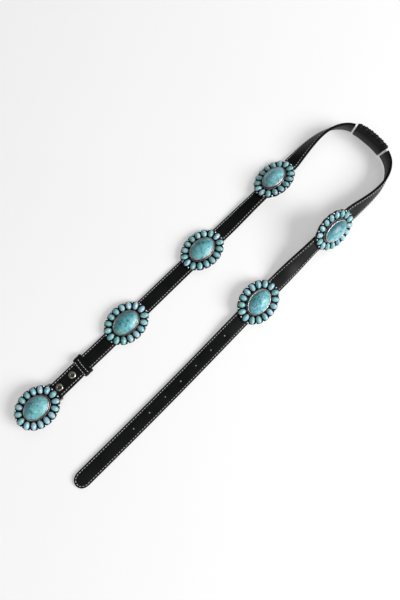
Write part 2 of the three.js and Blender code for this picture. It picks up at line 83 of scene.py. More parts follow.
LIFT = [
    (0, 0), (262, 0), (320, 1.6), (374, 1.6), (425, 0.3), (447, 0.1), (475, 1.64), (532, 1.62), (562, 1.2), (598, 2.8),
    (634, 7.3), (692, 7.3), (728, 2.4), (764, 0), (814, 0), (850, 0), (1084, 0),
]
# the end folded round the buckle's bar: (x, z of the middle, thickness)
UNDER_LAYER = [(-162.5, 2.0, 1.8), (-175, 2.0, 1.8), (-186, 2.0, 1.8), (-191.2, 2.0, 1.8)]
WRAP_RADIUS, WRAP_THICK, WRAP_STEPS = 2.45, 2.1, 8
TOP_LAYER = [
    (-190.5, 5.45, 2.5), (-187, 5.1, 2.7), (-182.5, 4.85, 3.0), (-175, 4.8, 3.0), (-166, 4.75, 3.0), (-160, 4.2, 3.0),
    (-156, 3.85, 3.0), (-148, 3.75, 3.0), (-138, 2.9, 3.0), (-128, 1.9, 3.0), (-118, 1.5, 3.0),
]
CONCHOS = [("concho_1", 92.8), ("concho_2", 219.8), ("concho_3", 346.8), ("concho_4", 663.0), ("concho_5", 788.5)]
TURNS = {"concho_1": -2, "concho_2": -2, "concho_3": 5, "concho_4": -6, "concho_5": 5, "buckle": -4}     # degrees on the screw
# painted shade: how much darker each stone is painted along its one long side and along the other, where the light
# falls away from it
STONE_SIDE_SHADE = {"concho_1": (0.35, -0.2), "concho_2": (0.2, -0.4), "concho_3": (-0.15, -0.5), "concho_4": (0.9, -0.5), "concho_5": (0.35, -0.4), "buckle": (0.0, -0.4)}
END_AT = ROUTE[-1][0]

# stitching
PITCH = 3.6            # one stitch and its gap
INSET = 2.15           # thread line to the strap's edge
STITCH = 1.70         # visible length of one stitch

_lo, _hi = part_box("snap_1_cap")
_keeper_lo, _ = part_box("keeper")
OFFSET = np.array([(_lo.x + _hi.x) / 2 - SNAPS[0][0] * 0.001, (_lo.y + _hi.y) / 2 - STRAIGHT_Y * 0.001, _keeper_lo.z])


# ------------------------------------------------------------------- curves
def bracket(xs, x):
    return int(min(max(np.searchsorted(xs, x, side="right") - 1, 0), len(xs) - 2))


def spline(rows, k):
    """Natural cubic spline of column k against column 0."""
    xs, ys = [float(r[0]) for r in rows], [float(r[k]) for r in rows]
    n = len(xs)
    m, c, d = [0.0] * n, [0.0] * n, [0.0] * n
    for i in range(1, n - 1):
        h0, h1 = xs[i] - xs[i - 1], xs[i + 1] - xs[i]
        r = 6 * ((ys[i + 1] - ys[i]) / h1 - (ys[i] - ys[i - 1]) / h0)
        w = 2 * (h0 + h1) - h0 * c[i - 1]
        c[i], d[i] = h1 / w, (r - h0 * d[i - 1]) / w
    for i in range(n - 2, 0, -1):
        m[i] = d[i] - c[i] * m[i + 1]

    def value(x):
        i = bracket(xs, x)
        h = xs[i + 1] - xs[i]
        a, b = (xs[i + 1] - x) / h, (x - xs[i]) / h
        return a * ys[i] + b * ys[i + 1] + ((a ** 3 - a) * m[i] + (b ** 3 - b) * m[i + 1]) * h * h / 6

    return value


def easing(rows, k):
    """A curve of column k against column 0 that never overshoots."""
    xs, ys = [float(r[0]) for r in rows], [float(r[k]) for r in rows]
    n = len(xs)
    slope = [(ys[i + 1] - ys[i]) / (xs[i + 1] - xs[i]) for i in range(n - 1)]
    t = [0.0] * n
    for i in range(1, n - 1):
        if slope[i - 1] * slope[i] > 0:
            h0, h1 = xs[i] - xs[i - 1], xs[i + 1] - xs[i]
            w1, w2 = 2 * h1 + h0, h1 + 2 * h0
            t[i] = (w1 + w2) / (w1 / slope[i - 1] + w2 / slope[i])

    def value(x):
        q = min(max(x, xs[0]), xs[-1])
        i = bracket(xs, q)
        h = xs[i + 1] - xs[i]
        u = (q - xs[i]) / h
        return ys[i] * (1 + 2 * u) * (1 - u) ** 2 + ys[i + 1] * u * u * (3 - 2 * u) + h * (t[i] * u * (1 - u) ** 2 + t[i + 1] * u * u * (u - 1))

    return value


route_x, route_y = spline(ROUTE, 1), spline(ROUTE, 2)
roll_at, lift_at = easing(ROLL, 1), easing(LIFT, 1)
top_z, top_thick = easing(TOP_LAYER, 1), easing(TOP_LAYER, 2)


def unit(v):
    return v / np.linalg.norm(v)


def middle(at):
    x, y, r = route_x(at), route_y(at), math.radians(roll_at(at))
    z = STRAP_WIDTH / 2 * math.sin(r) + STRAP_THICK / 2 * abs(math.cos(r)) + lift_at(at)
    if at < 100 and x < TOP_LAYER[-1][0]:
        z = top_z(x)
    return np.array([x, y, z])


def frame_at(at):
    """Middle of the strap, along, out (stitched face), across (to the inside of the U)."""
    p = middle(at)
    along = unit(middle(min(at + 0.5, END_AT)) - middle(at - 0.5))
    side = unit(np.array([-along[1], along[0], 0.0]))
    r = math.radians(roll_at(at))
    out = np.array([0, 0, math.cos(r)]) + side * math.sin(r)
    out = unit(out - along * out.dot(along))
    return p, along, out, np.cross(along, out)


def ripple(at, a, seed):
    """Slow unevenness of a hand-cut strap, from -1 to 1."""
    return (math.sin(at * 0.071 + seed) * 0.45 + math.sin(at * 0.163 + a * 0.21 + 2.1 * seed) * 0.35
            + math.sin(at * 0.337 - a * 0.33 + 3.7 * seed) * 0.2)


# ------------------------------------------------------------- mesh building
class Shape:
    """Vertices in mm, faces and per-vertex attributes, gathered from several closed shells."""

    def __init__(self):
        self.v, self.f, self.a = [], [], {"loc": [], "tone": [], "dark": []}
        self.n = 0

    def add(self, verts, faces, loc=None, tone=0.5, dark=0.0):
        verts = np.asarray(verts, float).reshape(-1, 3)
        k = len(verts)
        self.v.append(verts)
        self.f += [tuple(i + self.n for i in f) for f in faces]
        self.a["loc"].append(verts if loc is None else np.asarray(loc, float).reshape(-1, 3))
        self.a["tone"].append(np.full(k, float(tone)) if np.isscalar(tone) else np.asarray(tone, float))
        self.a["dark"].append(np.full(k, float(dark)) if np.isscalar(dark) else np.asarray(dark, float))
        self.n += k

    def moved(self, basis, origin):
        """The same shape placed with local x, y, z along the rows of basis."""
        other = Shape()
        for key in self.a:
            other.a[key] = list(self.a[key])
        other.v = [v @ basis + origin for v in self.v]
        other.f, other.n = self.f, self.n
        return other

    def build(self, name, material, angle=50, extra=None):
        me = bpy.data.meshes.new(name)
        verts = np.concatenate(self.v) * 0.001 + OFFSET
        me.from_pydata(verts.tolist(), [], self.f)
        for key in ("tone", "dark"):
            me.attributes.new(key, "FLOAT", "POINT").data.foreach_set("value", np.concatenate(self.a[key]).astype(np.float32))
        me.attributes.new("loc", "FLOAT_VECTOR", "POINT").data.foreach_set("vector", np.concatenate(self.a["loc"]).astype(np.float32).ravel())
        for key, values in (extra or {}).items():
            me.attributes.new(key, "FLOAT", "POINT").data.foreach_set("value", np.asarray(values, np.float32))
        bm = bmesh.new()
        bm.from_mesh(me)
        bmesh.ops.recalc_face_normals(bm, faces=bm.faces[:])
        bm.to_mesh(me)
        bm.free()
        me.shade_smooth()
        me.set_sharp_from_angle(angle=math.radians(angle))
        me.materials.append(material)
        ob = bpy.data.objects.new(name, me)
        bpy.context.scene.collection.objects.link(ob)
        return ob


def quads(rows, cols, wrap_cols=True, wrap_rows=False):
    out = []
    for i in range(rows if wrap_rows else rows - 1):
        j = (i + 1) % rows
        for k in range(cols if wrap_cols else cols - 1):
            m = (k + 1) % cols
            out.append((i * cols + k, i * cols + m, j * cols + m, j * cols + k))
    return out


def closed_rows(rows, dark=None):
    """Shell from closed rings; a first or last ring of zero size becomes one point."""
    verts, faces, ids, level = [], [], [], []
    for n, r in enumerate(rows):
        r = np.asarray(r, float)
        value = 0.0 if dark is None else dark[n]
        if np.ptp(r, axis=0).max() < 1e-6:
            ids.append([len(verts)])
            verts.append(r[0])
            level.append(value)
        else:
            ids.append(list(range(len(verts), len(verts) + len(r))))
            verts += list(r)
            level += [value] * len(r)
    for a, b in zip(ids, ids[1:]):
        n = max(len(a), len(b))
        for k in range(n):
            m = (k + 1) % n
            if len(a) == 1:
                faces.append((a[0], b[m], b[k]))
            elif len(b) == 1:
                faces.append((a[k], a[m], b[0]))
            else:
                faces.append((a[k], a[m], b[m], b[k]))
    if len(ids[0]) > 1:
        faces.append(tuple(reversed(ids[0])))
    if len(ids[-1]) > 1:
        faces.append(tuple(ids[-1]))
    return np.array(verts), faces, np.array(level)


def oval(a, b, sides, z, wobble=None):
    t = np.arange(sides) / sides * 2 * math.pi
    r = np.ones(sides) if wobble is None else wobble(t)
    return np.stack([a * r * np.cos(t), b * r * np.sin(t), np.full(sides, z)], 1)


def tube(points, radius, sides, closed=False, cap=True):
    """Rings round a line of points; radius may be one number per point."""
    p = np.asarray(points, float)
    n = len(p)
    radius = np.full(n, radius) if np.isscalar(radius) else np.asarray(radius, float)
    d = np.gradient(p, axis=0)
    if closed:
        d = np.roll(p, -1, 0) - np.roll(p, 1, 0)
    d /= np.linalg.norm(d, axis=1)[:, None]
    ref = np.array([0, 0, 1.0]) if abs(d[0][2]) < 0.9 else np.array([0, 1.0, 0])
    u = unit(np.cross(d[0], ref))
    rings = []
    for i in range(n):
        u = unit(u - d[i] * u.dot(d[i]))
        w = np.cross(d[i], u)
        t = np.arange(sides) / sides * 2 * math.pi
        rings.append(p[i] + radius[i] * (np.cos(t)[:, None] * u + np.sin(t)[:, None] * w))
    verts = np.concatenate(rings)
    faces = quads(n, sides, True, closed)
    if not closed and cap:
        faces.append(tuple(reversed(range(sides))))
        faces.append(tuple(range((n - 1) * sides, n * sides)))
    return verts, faces


def through(points, steps):
    """Smooth line through points, steps per piece."""
    p = np.asarray(points, float)
    p = np.vstack([2 * p[0] - p[1], p, 2 * p[-1] - p[-2]])
    out = []
    for i in range(1, len(p) - 2):
        t0 = 0.0
        t1 = t0 + max(np.linalg.norm(p[i] - p[i - 1]), 1e-6) ** 0.5
        t2 = t1 + max(np.linalg.norm(p[i + 1] - p[i]), 1e-6) ** 0.5
        t3 = t2 + max(np.linalg.norm(p[i + 2] - p[i + 1]), 1e-6) ** 0.5
        for s in range(steps):
            t = t1 + (t2 - t1) * s / steps
            a1 = p[i - 1] * (t1 - t) / (t1 - t0) + p[i] * (t - t0) / (t1 - t0)
            a2 = p[i] * (t2 - t) / (t2 - t1) + p[i + 1] * (t - t1) / (t2 - t1)
            a3 = p[i + 1] * (t3 - t) / (t3 - t2) + p[i + 2] * (t - t2) / (t3 - t2)
            b1 = a1 * (t2 - t) / (t2 - t0) + a2 * (t - t0) / (t2 - t0)
            b2 = a2 * (t3 - t) / (t3 - t1) + a3 * (t - t1) / (t3 - t1)
            out.append(b1 * (t2 - t) / (t2 - t1) + b2 * (t - t1) / (t2 - t1))
    out.append(p[-2])
    return np.array(out)


# ----------------------------------------------------------------- materials
class Nodes:
    def __init__(self, name):
        self.material = bpy.data.materials.new(name)
        self.material.use_nodes = True
        self.tree = self.material.node_tree
        self.shader = self.tree.nodes["Principled BSDF"]

    def new(self, kind, inputs=None, **settings):
        node = self.tree.nodes.new(kind)
        for k, v in settings.items():
            setattr(node, k, v)
        for k, v in (inputs or {}).items():
            self.put(node.inputs[k], v)
        return node

    def put(self, socket, value):
        if isinstance(value, bpy.types.NodeSocket):
            self.tree.links.new(value, socket)
        else:
            socket.default_value = value

    def attribute(self, name, output="Fac"):
        return self.new("ShaderNodeAttribute", attribute_name=name).outputs[output]

    def place(self):
        return self.new("ShaderNodeTexCoord").outputs["Object"]

    def noise(self, vector, scale, detail=3.0, rough=0.5, distortion=0.0):
        n = self.new("ShaderNodeTexNoise", {"Vector": vector, "Scale": scale, "Detail": detail, "Roughness": rough, "Distortion": distortion})
        return n.outputs["Fac"]

    def voronoi(self, vector, scale, feature="F1", smooth=0.5, randomness=1.0):
        n = self.new("ShaderNodeTexVoronoi", feature=feature)
        self.put(n.inputs["Vector"], vector)
        self.put(n.inputs["Scale"], scale)
        if feature == "SMOOTH_F1":
            n.inputs["Smoothness"].default_value = smooth
        n.inputs["Randomness"].default_value = randomness
        return n.outputs["Distance"]

    def ramp(self, fac, stops, mode="LINEAR"):
        r = self.new("ShaderNodeValToRGB", {"Fac": fac})
        r.color_ramp.interpolation = mode
        while len(r.color_ramp.elements) < len(stops):
            r.color_ramp.elements.new(0.5)
        for e, (p, c) in zip(r.color_ramp.elements, stops):
            e.position, e.color = p, (*c, 1)
        return r.outputs["Color"]

    def span(self, value, a, b, c=0.0, d=1.0):
        return self.new("ShaderNodeMapRange", {"Value": value, "From Min": a, "From Max": b, "To Min": c, "To Max": d}).outputs["Result"]

    def math(self, op, a, b=0.0, clamp=False):
        n = self.new("ShaderNodeMath", operation=op, use_clamp=clamp)
        self.put(n.inputs[0], a)
        self.put(n.inputs[1], b)
        return n.outputs[0]

    def mix(self, fac, a, b, mode="MIX"):
        n = self.new("ShaderNodeMix", data_type="RGBA", blend_type=mode)
        self.put(n.inputs["Factor"], fac)
        for socket, v in ((n.inputs[6], a), (n.inputs[7], b)):
            self.put(socket, v if isinstance(v, bpy.types.NodeSocket) else (*v, 1))
        return n.outputs[2]

    def bump(self, height, strength, distance, normal=None):
        n = self.new("ShaderNodeBump", {"Height": height, "Strength": strength, "Distance": distance})
        if normal is not None:
            self.put(n.inputs["Normal"], normal)
        return n.outputs["Normal"]

    def finish(self, color, roughness, normal=None, metallic=0.0, specular=0.5, ior=1.5, coat=0.0, coat_rough=0.1, sheen=0.0):
        s = self.shader
        self.put(s.inputs["Base Color"], color if isinstance(color, bpy.types.NodeSocket) else (*color, 1))
        self.put(s.inputs["Roughness"], roughness)
        self.put(s.inputs["Metallic"], metallic)
        s.inputs["Specular IOR Level"].default_value = specular
        s.inputs["IOR"].default_value = ior
        s.inputs["Coat Weight"].default_value = coat
        s.inputs["Coat Roughness"].default_value = coat_rough
        s.inputs["Sheen Weight"].default_value = sheen
        if normal is not None:
            self.put(s.inputs["Normal"], normal)
        return self.material


def leather_material():
    m = Nodes("black_leather")
    place = m.place()
    back, edge = m.attribute("back"), m.attribute("edge")
    grain = m.voronoi(place, 1150, "SMOOTH_F1", 0.35)
    fine = m.noise(place, 2600, 3.0, 0.6)
    cloud = m.noise(place, 45, 4.0, 0.55)
    fibre = m.noise(place, 1700, 5.0, 0.7)
    front_color = m.ramp(cloud, [(0.3, (0.0022, 0.0028, 0.0027)), (0.7, (0.0048, 0.0056, 0.0054))])
    # painted light: the flesh side is painted lighter towards the floor, standing in for light bounced up from the
    # white floor
    low = m.span(m.new("ShaderNodeSeparateXYZ", {"Vector": place}).outputs["Z"], 0.001, 0.017, 1.0, 0.0)
    back_painted_floor_light = m.mix(low, m.ramp(fibre, [(0.3, (0.014, 0.014, 0.015)), (0.75, (0.036, 0.036, 0.036))]),
                       m.ramp(fibre, [(0.3, (0.090, 0.090, 0.091)), (0.75, (0.20, 0.20, 0.20))]))
    color = m.mix(back, front_color, back_painted_floor_light)
    color = m.mix(m.math("MULTIPLY", edge, 0.9), color, (0.0015, 0.0015, 0.0015))
    rough = m.span(cloud, 0.25, 0.75, 0.36, 0.48)
    rough = m.math("ADD", rough, m.math("MULTIPLY", m.math("SUBTRACT", grain, 0.3), 0.12))
    rough = m.mix(back, rough, (0.8, 0.8, 0.8))
    rough = m.mix(edge, rough, (0.9, 0.9, 0.9))
    face = m.math("SUBTRACT", 1.0, edge)
    height = m.math("ADD", m.math("MULTIPLY", grain, m.math("MULTIPLY", face, 0.7)), m.math("MULTIPLY", fine, 0.3))
    height = m.math("ADD", height, m.math("MULTIPLY", m.math("MULTIPLY", fibre, back), 0.8))
    normal = m.bump(height, 0.55, 0.00012)
    return m.finish(color, rough, normal, specular=0.14)


def thread_material(name, light, dark):
    m = Nodes(name)
    loc = m.attribute("loc", "Vector")
    twist = m.new("ShaderNodeTexWave", {"Vector": loc, "Scale": 1.5, "Distortion": 0.4, "Detail": 1.0}, bands_direction="DIAGONAL").outputs["Fac"]
    fuzz = m.noise(loc, 9, 2.0)
    color = m.mix(m.math("MULTIPLY", twist, 0.55), light, dark)
    color = m.mix(m.math("MULTIPLY", m.attribute("tone"), 0.35), color, dark)
    normal = m.bump(m.math("ADD", twist, m.math("MULTIPLY", fuzz, 0.4)), 0.6, 0.00012)
    return m.finish(color, m.span(fuzz, 0.2, 0.8, 0.55, 0.8), normal, specular=0.3)


def turquoise_material(name, pale, main, deep, vein_scale, mottle, rough, variety, polish):
    m = Nodes(name)
    loc, tone = m.attribute("loc", "Vector"), m.attribute("tone")
    broad = m.noise(loc, mottle, 4.0, 0.6, 0.6)
    small = m.noise(loc, mottle * 4.2, 4.0, 0.65, 0.4)
    field = m.math("ADD", m.math("MULTIPLY", broad, 0.56), m.math("MULTIPLY", small, 0.44))
    field = m.math("ADD", field, m.math("MULTIPLY", m.math("SUBTRACT", tone, 0.5), 0.16))
    # for the stones the dark attribute carries painted shade on one side; it darkens the colour here and below
    field = m.math("SUBTRACT", field, m.math("MULTIPLY", m.attribute("dark"), 0.2))
    color = m.ramp(field, [(0.36, deep), (0.455, main), (0.54, tuple((a + b) / 2 for a, b in zip(main, pale))), (0.64, pale)])
    # greener, bluer and greyer clouds; the tone of each petal leans one way
    green = m.math("ADD", m.noise(loc, mottle * 0.9, 4.0, 0.55, 0.8), m.math("MULTIPLY", m.math("SUBTRACT", 0.5, tone), variety))
    color = m.mix(m.span(green, 0.50, 0.64, 0.0, 0.8), color, tuple(0.7 * a + 0.3 * b for a, b in zip((0.08, 0.38, 0.26), pale)))
    blue = m.math("ADD", m.noise(loc, mottle * 1.3, 4.0, 0.6, 1.2), m.math("MULTIPLY", m.math("SUBTRACT", tone, 0.5), variety))
    color = m.mix(m.span(blue, 0.52, 0.68, 0.0, 0.75), color, tuple(0.75 * a + 0.25 * b for a, b in zip((0.16, 0.26, 0.36), pale)))
    grey = m.noise(loc, mottle * 2.4, 5.0, 0.62, 1.0)
    color = m.mix(m.span(grey, 0.58, 0.74, 0.0, 0.55), color, (0.20, 0.27, 0.31))
    bent = m.new("ShaderNodeVectorMath", operation="ADD")
    warp = m.new("ShaderNodeTexNoise", {"Vector": loc, "Scale": vein_scale * 1.9, "Detail": 3.0}).outputs["Color"]
    scaled = m.new("ShaderNodeVectorMath", {0: warp}, operation="SCALE")
    scaled.inputs["Scale"].default_value = 2.6
    m.put(bent.inputs[0], loc)
    m.put(bent.inputs[1], scaled.outputs[0])
    cracks = m.voronoi(bent.outputs[0], vein_scale, "DISTANCE_TO_EDGE")
    line = m.span(cracks, 0.0, 0.075, 1.0, 0.0)
    patchy = m.span(m.noise(loc, vein_scale * 1.2, 2.0), 0.38, 0.58, 0.0, 0.9)
    vein = m.math("MULTIPLY", line, patchy, True)
    color = m.mix(vein, color, (0.035, 0.075, 0.085))
    color = m.mix(m.math("ADD", m.attribute("dark"), 0.0, True), color, deep)
    normal = m.bump(m.math("SUBTRACT", m.math("MULTIPLY", small, 0.25), m.math("MULTIPLY", vein, 0.35)), 0.35, 0.0002)
    return m.finish(color, m.span(small, 0.3, 0.7, rough, rough + 0.14), normal, specular=0.32, coat=polish, coat_rough=0.16)


def silver_material():
    m = Nodes("antique_silver")
    loc, dark = m.attribute("loc", "Vector"), m.attribute("dark")
    patina = m.noise(loc, 0.55, 4.0, 0.6)
    small = m.noise(loc, 2.6, 4.0, 0.65)
    level = m.math("ADD", dark, m.span(patina, 0.35, 0.75, -0.06, 0.26), True)
    level = m.math("ADD", level, m.span(small, 0.45, 0.75, 0.0, 0.15), True)
    color = m.ramp(level, [(0.0, (0.80, 0.77, 0.76)), (0.22, (0.56, 0.50, 0.50)), (0.45, (0.27, 0.225, 0.23)), (0.75, (0.05, 0.038, 0.045)), (1.0, (0.010, 0.008, 0.011))])
    rough = m.span(level, 0.0, 1.0, 0.26, 0.62)
    normal = m.bump(m.math("ADD", small, m.noise(loc, 7.0, 2.0)), 0.25, 0.00008)
    return m.finish(color, rough, normal, metallic=0.92)


def nickel_material():
    m = Nodes("snap_nickel")
    loc = m.attribute("loc", "Vector")
    cloud = m.noise(loc, 0.7, 3.0, 0.6)
    scratch = m.noise(loc, 6.0, 3.0, 0.7, 1.5)
    level = m.math("ADD", m.attribute("dark"), m.span(cloud, 0.4, 0.8, 0.0, 0.3), True)
    color = m.ramp(level, [(0.0, (0.46, 0.43, 0.38)), (0.5, (0.24, 0.22, 0.19)), (1.0, (0.03, 0.027, 0.024))])
    return m.finish(color, m.span(scratch, 0.3, 0.7, 0.2, 0.36), m.bump(scratch, 0.1, 0.00005), metallic=1.0)


def sleeve_material():
    m = Nodes("sleeve_black")
    place = m.place()
    weave = m.noise(place, 1500, 3.0, 0.6)
    cloud = m.noise(place, 90, 3.0, 0.6)
    both = m.math("ADD", m.math("MULTIPLY", weave, 0.5), m.math("MULTIPLY", cloud, 0.5))
    # painted light: the sleeve is painted lighter towards the floor, standing in for light bounced up from the white
    # floor
    low = m.span(m.new("ShaderNodeSeparateXYZ", {"Vector": place}).outputs["Z"], 0.001, 0.014, 1.0, 0.0)
    color = m.mix(low, m.ramp(both, [(0.35, (0.004, 0.004, 0.0045)), (0.7, (0.010, 0.010, 0.011))]), m.ramp(both, [(0.35, (0.055, 0.055, 0.057)), (0.7, (0.16, 0.16, 0.163))]))
    return m.finish(color, m.span(cloud, 0.3, 0.7, 0.6, 0.8), m.bump(weave, 0.5, 0.00012), specular=0.2)


def band_material():
    m = Nodes("band_white")
    place = m.place()
    fibre = m.noise(place, 2200, 4.0, 0.65)
    cloud = m.noise(place, 160, 3.0)
    color = m.ramp(m.math("ADD", m.math("MULTIPLY", fibre, 0.6), m.math("MULTIPLY", cloud, 0.4)), [(0.3, (0.86, 0.86, 0.85)), (0.7, (0.95, 0.95, 0.94))])
    return m.finish(color, 0.7, m.bump(fibre, 0.4, 0.0001), specular=0.3)


def floor_material():
    m = Nodes("pale_floor")
    place = m.place()
    cloud = m.noise(place, 3.0, 3.0)
    color = m.ramp(cloud, [(0.3, (0.61, 0.61, 0.61)), (0.7, (0.63, 0.63, 0.63))])
    m.shader.inputs["Emission Color"].default_value = (1.0, 1.0, 1.0, 1.0)
    m.shader.inputs["Emission Strength"].default_value = 0.35      # the floor glows faintly: painted light that keeps the shadows on it light
    return m.finish(color, 0.75, specular=0.2)


LEATHER = leather_material()
THREAD = thread_material("stitch_thread", (0.66, 0.66, 0.64), (0.36, 0.36, 0.35))
BACK_THREAD = thread_material("back_thread", (0.13, 0.125, 0.12), (0.05, 0.05, 0.05))
STONE = turquoise_material("turquoise_stone", (0.30, 0.63, 0.69), (0.09, 0.36, 0.42), (0.020, 0.120, 0.155), 0.17, 0.13, 0.26, 0.5, 0.14)
PETAL = turquoise_material("turquoise_petal", (0.56, 0.80, 0.86), (0.20, 0.50, 0.57), (0.05, 0.22, 0.27), 0.30, 0.26, 0.28, 0.30, 0.45)
SILVER = silver_material()
NICKEL = nickel_material()
SLEEVE = sleeve_material()
BAND = band_material()


# ----------------------------------------------------------------- the strap
HALF, EDGE_ROUND, GROOVE, BACK_GROOVE = STRAP_WIDTH / 2, 0.45, 0.34, 0.5
STEP = PITCH / 4
# one face from its middle to the edge: distance in from the edge
FACE_IN = [HALF, HALF - 1.2, HALF - 2.4, HALF - 4.5, 3.25, 2.7, INSET, 1.6, EDGE_ROUND]
EDGE_ANGLES = [25, 50, 75]


def dimple(at):
    """Deepest where the thread enters the leather, between two stitches."""
    return 0.5 + 0.5 * math.cos(2 * math.pi * at / PITCH)


def half_profile(at, thick, front_depth, back_depth):
    """From the middle of the front face round the edge to the middle of the back face: (inset, height, edge, back)."""
    t = thick / 2
    r = min(EDGE_ROUND, t * 0.8)
    out = []

    def face(sign, depth):
        rows = []
        for d in FACE_IN:
            z = t
            if d > 3.0:
                if sign > 0:
                    z += 0.12 * (1 - ((d - HALF) / (HALF - 3.0)) ** 2) + 0.05 * ripple(at, d, 1.0)
                else:
                    z -= 0.05 * (1 + ripple(at, -d, 2.0))
            if abs(d - INSET) < 0.01:
                z -= depth * (0.75 + 0.65 * dimple(at))
            elif abs(d - INSET) < 0.6:
                z -= depth * 0.42
            rows.append((d, sign * z, 0.0, 0.0 if sign > 0 else 1.0))
        return rows

    out += face(1, front_depth)
    for a in EDGE_ANGLES:
        c, s = math.cos(math.radians(a)), math.sin(math.radians(a))
        out.append((r - r * s, t - r + r * c, min(1.0, a / 45), 0.0))
    out.append((-0.02, 0.0, 1.0, 0.0))
    for a in reversed(EDGE_ANGLES):
        c, s = math.cos(math.radians(a)), math.sin(math.radians(a))
        out.append((r - r * s, -(t - r + r * c), min(1.0, a / 45), 0.0))
    out += list(reversed(face(-1, back_depth)))
    return out


def fold_stations():
    line = [tuple(map(float, r)) for r in UNDER_LAYER]
    for i in range(WRAP_STEPS + 1):
        a = -math.pi / 2 - math.pi * i / WRAP_STEPS
        line.append((BAR_X + WRAP_RADIUS * math.cos(a), BAR_Z + WRAP_RADIUS * math.sin(a), 1.9 if i == 0 else WRAP_THICK))
    line += [tuple(map(float, r)) for r in TOP_LAYER[:5]]
    s = [0.0]
    for a, b in zip(line, line[1:]):
        s.append(s[-1] + math.hypot(b[0] - a[0], b[1] - a[1]))
    rows = [(q, *r) for q, r in zip(s, line)]
    fx, fz, ft = spline(rows, 1), spline(rows, 2), easing(rows, 3)
    joint = s[len(line) - 2]           # where x is -175, at 0
    out = []
    n = int(joint / STEP)
    for i in range(n):
        q = joint * i / n
        x, z = fx(q), fz(q)
        d = unit(np.array([fx(q + 0.05) - fx(q - 0.05), 0, fz(q + 0.05) - fz(q - 0.05)]))
        out.append((q - joint, np.array([x, STRAIGHT_Y, z]), d, np.array([-d[2], 0, d[0]]), np.array([0, -1.0, 0]), ft(q)))
    return out


STATIONS = fold_stations()
_at = 0.0
while _at < END_AT - TIP_LENGTH - 0.2:
    _p, _d, _o, _c = frame_at(_at)
    STATIONS.append((_at, _p, _d, _o, _c, top_thick(_p[0]) if _p[0] < -118 and _at < 100 else STRAP_THICK))
    _at += STEP
FIRST_AT = STATIONS[0][0]
STITCH_FROM = FIRST_AT + 27 + 2.45 * math.pi + 6        # past the fold
TIP_AT = END_AT - TIP_LENGTH
_p, _d, _o, _c = frame_at(TIP_AT)
STATIONS.append((TIP_AT, _p, _d, _o, _c, STRAP_THICK))


def tip_outline(count):
    """Rounded end, from the inner side round to the outer side: (along, across, inward along, inward across)."""
    fine = []
    for i in range(801):
        e = math.sin(i / 800 * math.pi / 2) * TIP_LENGTH
        fine.append((e, HALF * math.sqrt(max(1 - (e / TIP_LENGTH) ** 2.5, 0))))
    fine += [(e, -w) for e, w in reversed(fine[:-1])]
    fine = np.array(fine)
    walked = np.concatenate([[0], np.cumsum(np.linalg.norm(np.diff(fine, axis=0), axis=1))])
    out = []
    for j in range(count + 1):
        s = walked[-1] * j / count
        q = [np.interp(s, walked, fine[:, k]) for k in (0, 1)]
        h = 0.6
        a = [np.interp(max(s - h, 0), walked, fine[:, k]) for k in (0, 1)]
        b = [np.interp(min(s + h, walked[-1]), walked, fine[:, k]) for k in (0, 1)]
        t = unit(np.array([b[0] - a[0], b[1] - a[1]]))
        n = np.array([-1.0 * abs(t[1]) if abs(t[1]) > 1e-9 else 0.0, 0.0])
        n = np.array([t[1], -t[0]])
        if j == 0:
            n = np.array([0.0, -1.0])
        if j == count:
            n = np.array([0.0, 1.0])
        if n @ (np.array([0, 0]) - np.array(q)) < 0:
            n = -n
        out.append((q[0], q[1], n[0], n[1], s))
    return out, walked[-1]


TIP_RAYS, TIP_WALK = tip_outline(44)


def build_strap():
    verts, faces, edge, back = [], [], [], []
    last = None
    for at, p, along, out, across, thick in STATIONS:
        stitched = 1.0 if at > STITCH_FROM - 2 else 0.0
        prof = half_profile(at, thick, GROOVE * stitched, BACK_GROOVE if at > 16 else 0.0)
        ring = [(HALF - d, h, e, b) for d, h, e, b in prof] + [(-(HALF - d), h, e, b) for d, h, e, b in reversed(prof[1:-1])]
        base = len(verts)
        for a, h, e, b in ring:
            verts.append(p + across * a + out * h)
            edge.append(e)
            back.append(b)
        n = len(ring)
        if last is not None:
            for k in range(n):
                m = (k + 1) % n
                faces.append((last + k, last + m, base + m, base + k))
        else:
            faces.append(tuple(range(base + n - 1, base - 1, -1)))
        last = base
    at, p, along, out, across, thick = STATIONS[-1]
    prof = half_profile(at, thick, GROOVE, BACK_GROOVE)
    n_half = len(prof)
    n = 2 * n_half - 2
    first_ray = [last + k for k in range(n_half)]
    last_ray = [last] + [last + n - k for k in range(1, n_half - 1)] + [last + n_half - 1]
    rays = [first_ray]
    limit = FACE_IN[4]
    for e, w, ne, nw, s in TIP_RAYS[1:-1]:
        ray = [first_ray[0]]
        prof = half_profile(TIP_AT + s, thick, GROOVE, BACK_GROOVE)
        for d, h, ed, bk in prof[1:-1]:
            if d <= limit + 1e-6:
                q = np.array([e + ne * d, w + nw * d])
            else:
                q = np.array([e + ne * limit, w + nw * limit]) * ((HALF - d) / (HALF - limit))
            ray.append(len(verts))
            verts.append(p + along * q[0] + across * q[1] + out * h)
            edge.append(ed)
            back.append(bk)
        ray.append(first_ray[-1])
        rays.append(ray)
    rays.append(last_ray)
    for a, b in zip(rays, rays[1:]):
        for k in range(n_half - 1):
            q = [a[k], a[k + 1], b[k + 1], b[k]]
            q = [v for i, v in enumerate(q) if v not in q[:i]]
            if len(q) > 2:
                faces.append(tuple(q))
    shape = Shape()
    shape.add(np.array(verts), faces)
    return shape, np.array(edge), np.array(back)


def sink_round_holes(shape, centres):
    """Presses the leather down a little round each punched hole."""
    v = shape.v[0]
    for p, out, radius, depth in centres:
        d = v - p
        h = d @ out
        r = np.linalg.norm(d - np.outer(h, out), axis=1)
        near = (r < radius * 2.2) & (np.abs(h) < STRAP_THICK)
        drop = depth * np.exp(-((r[near] - radius * 0.6) / (radius * 0.6)) ** 2)
        v[near] -= np.outer(np.sign(h[near]) * drop, out)


def cutter(p, out, radius, length, sides=40):
    v, f = tube([p - out * length / 2, p + out * length / 2], radius, sides)
    return v, f


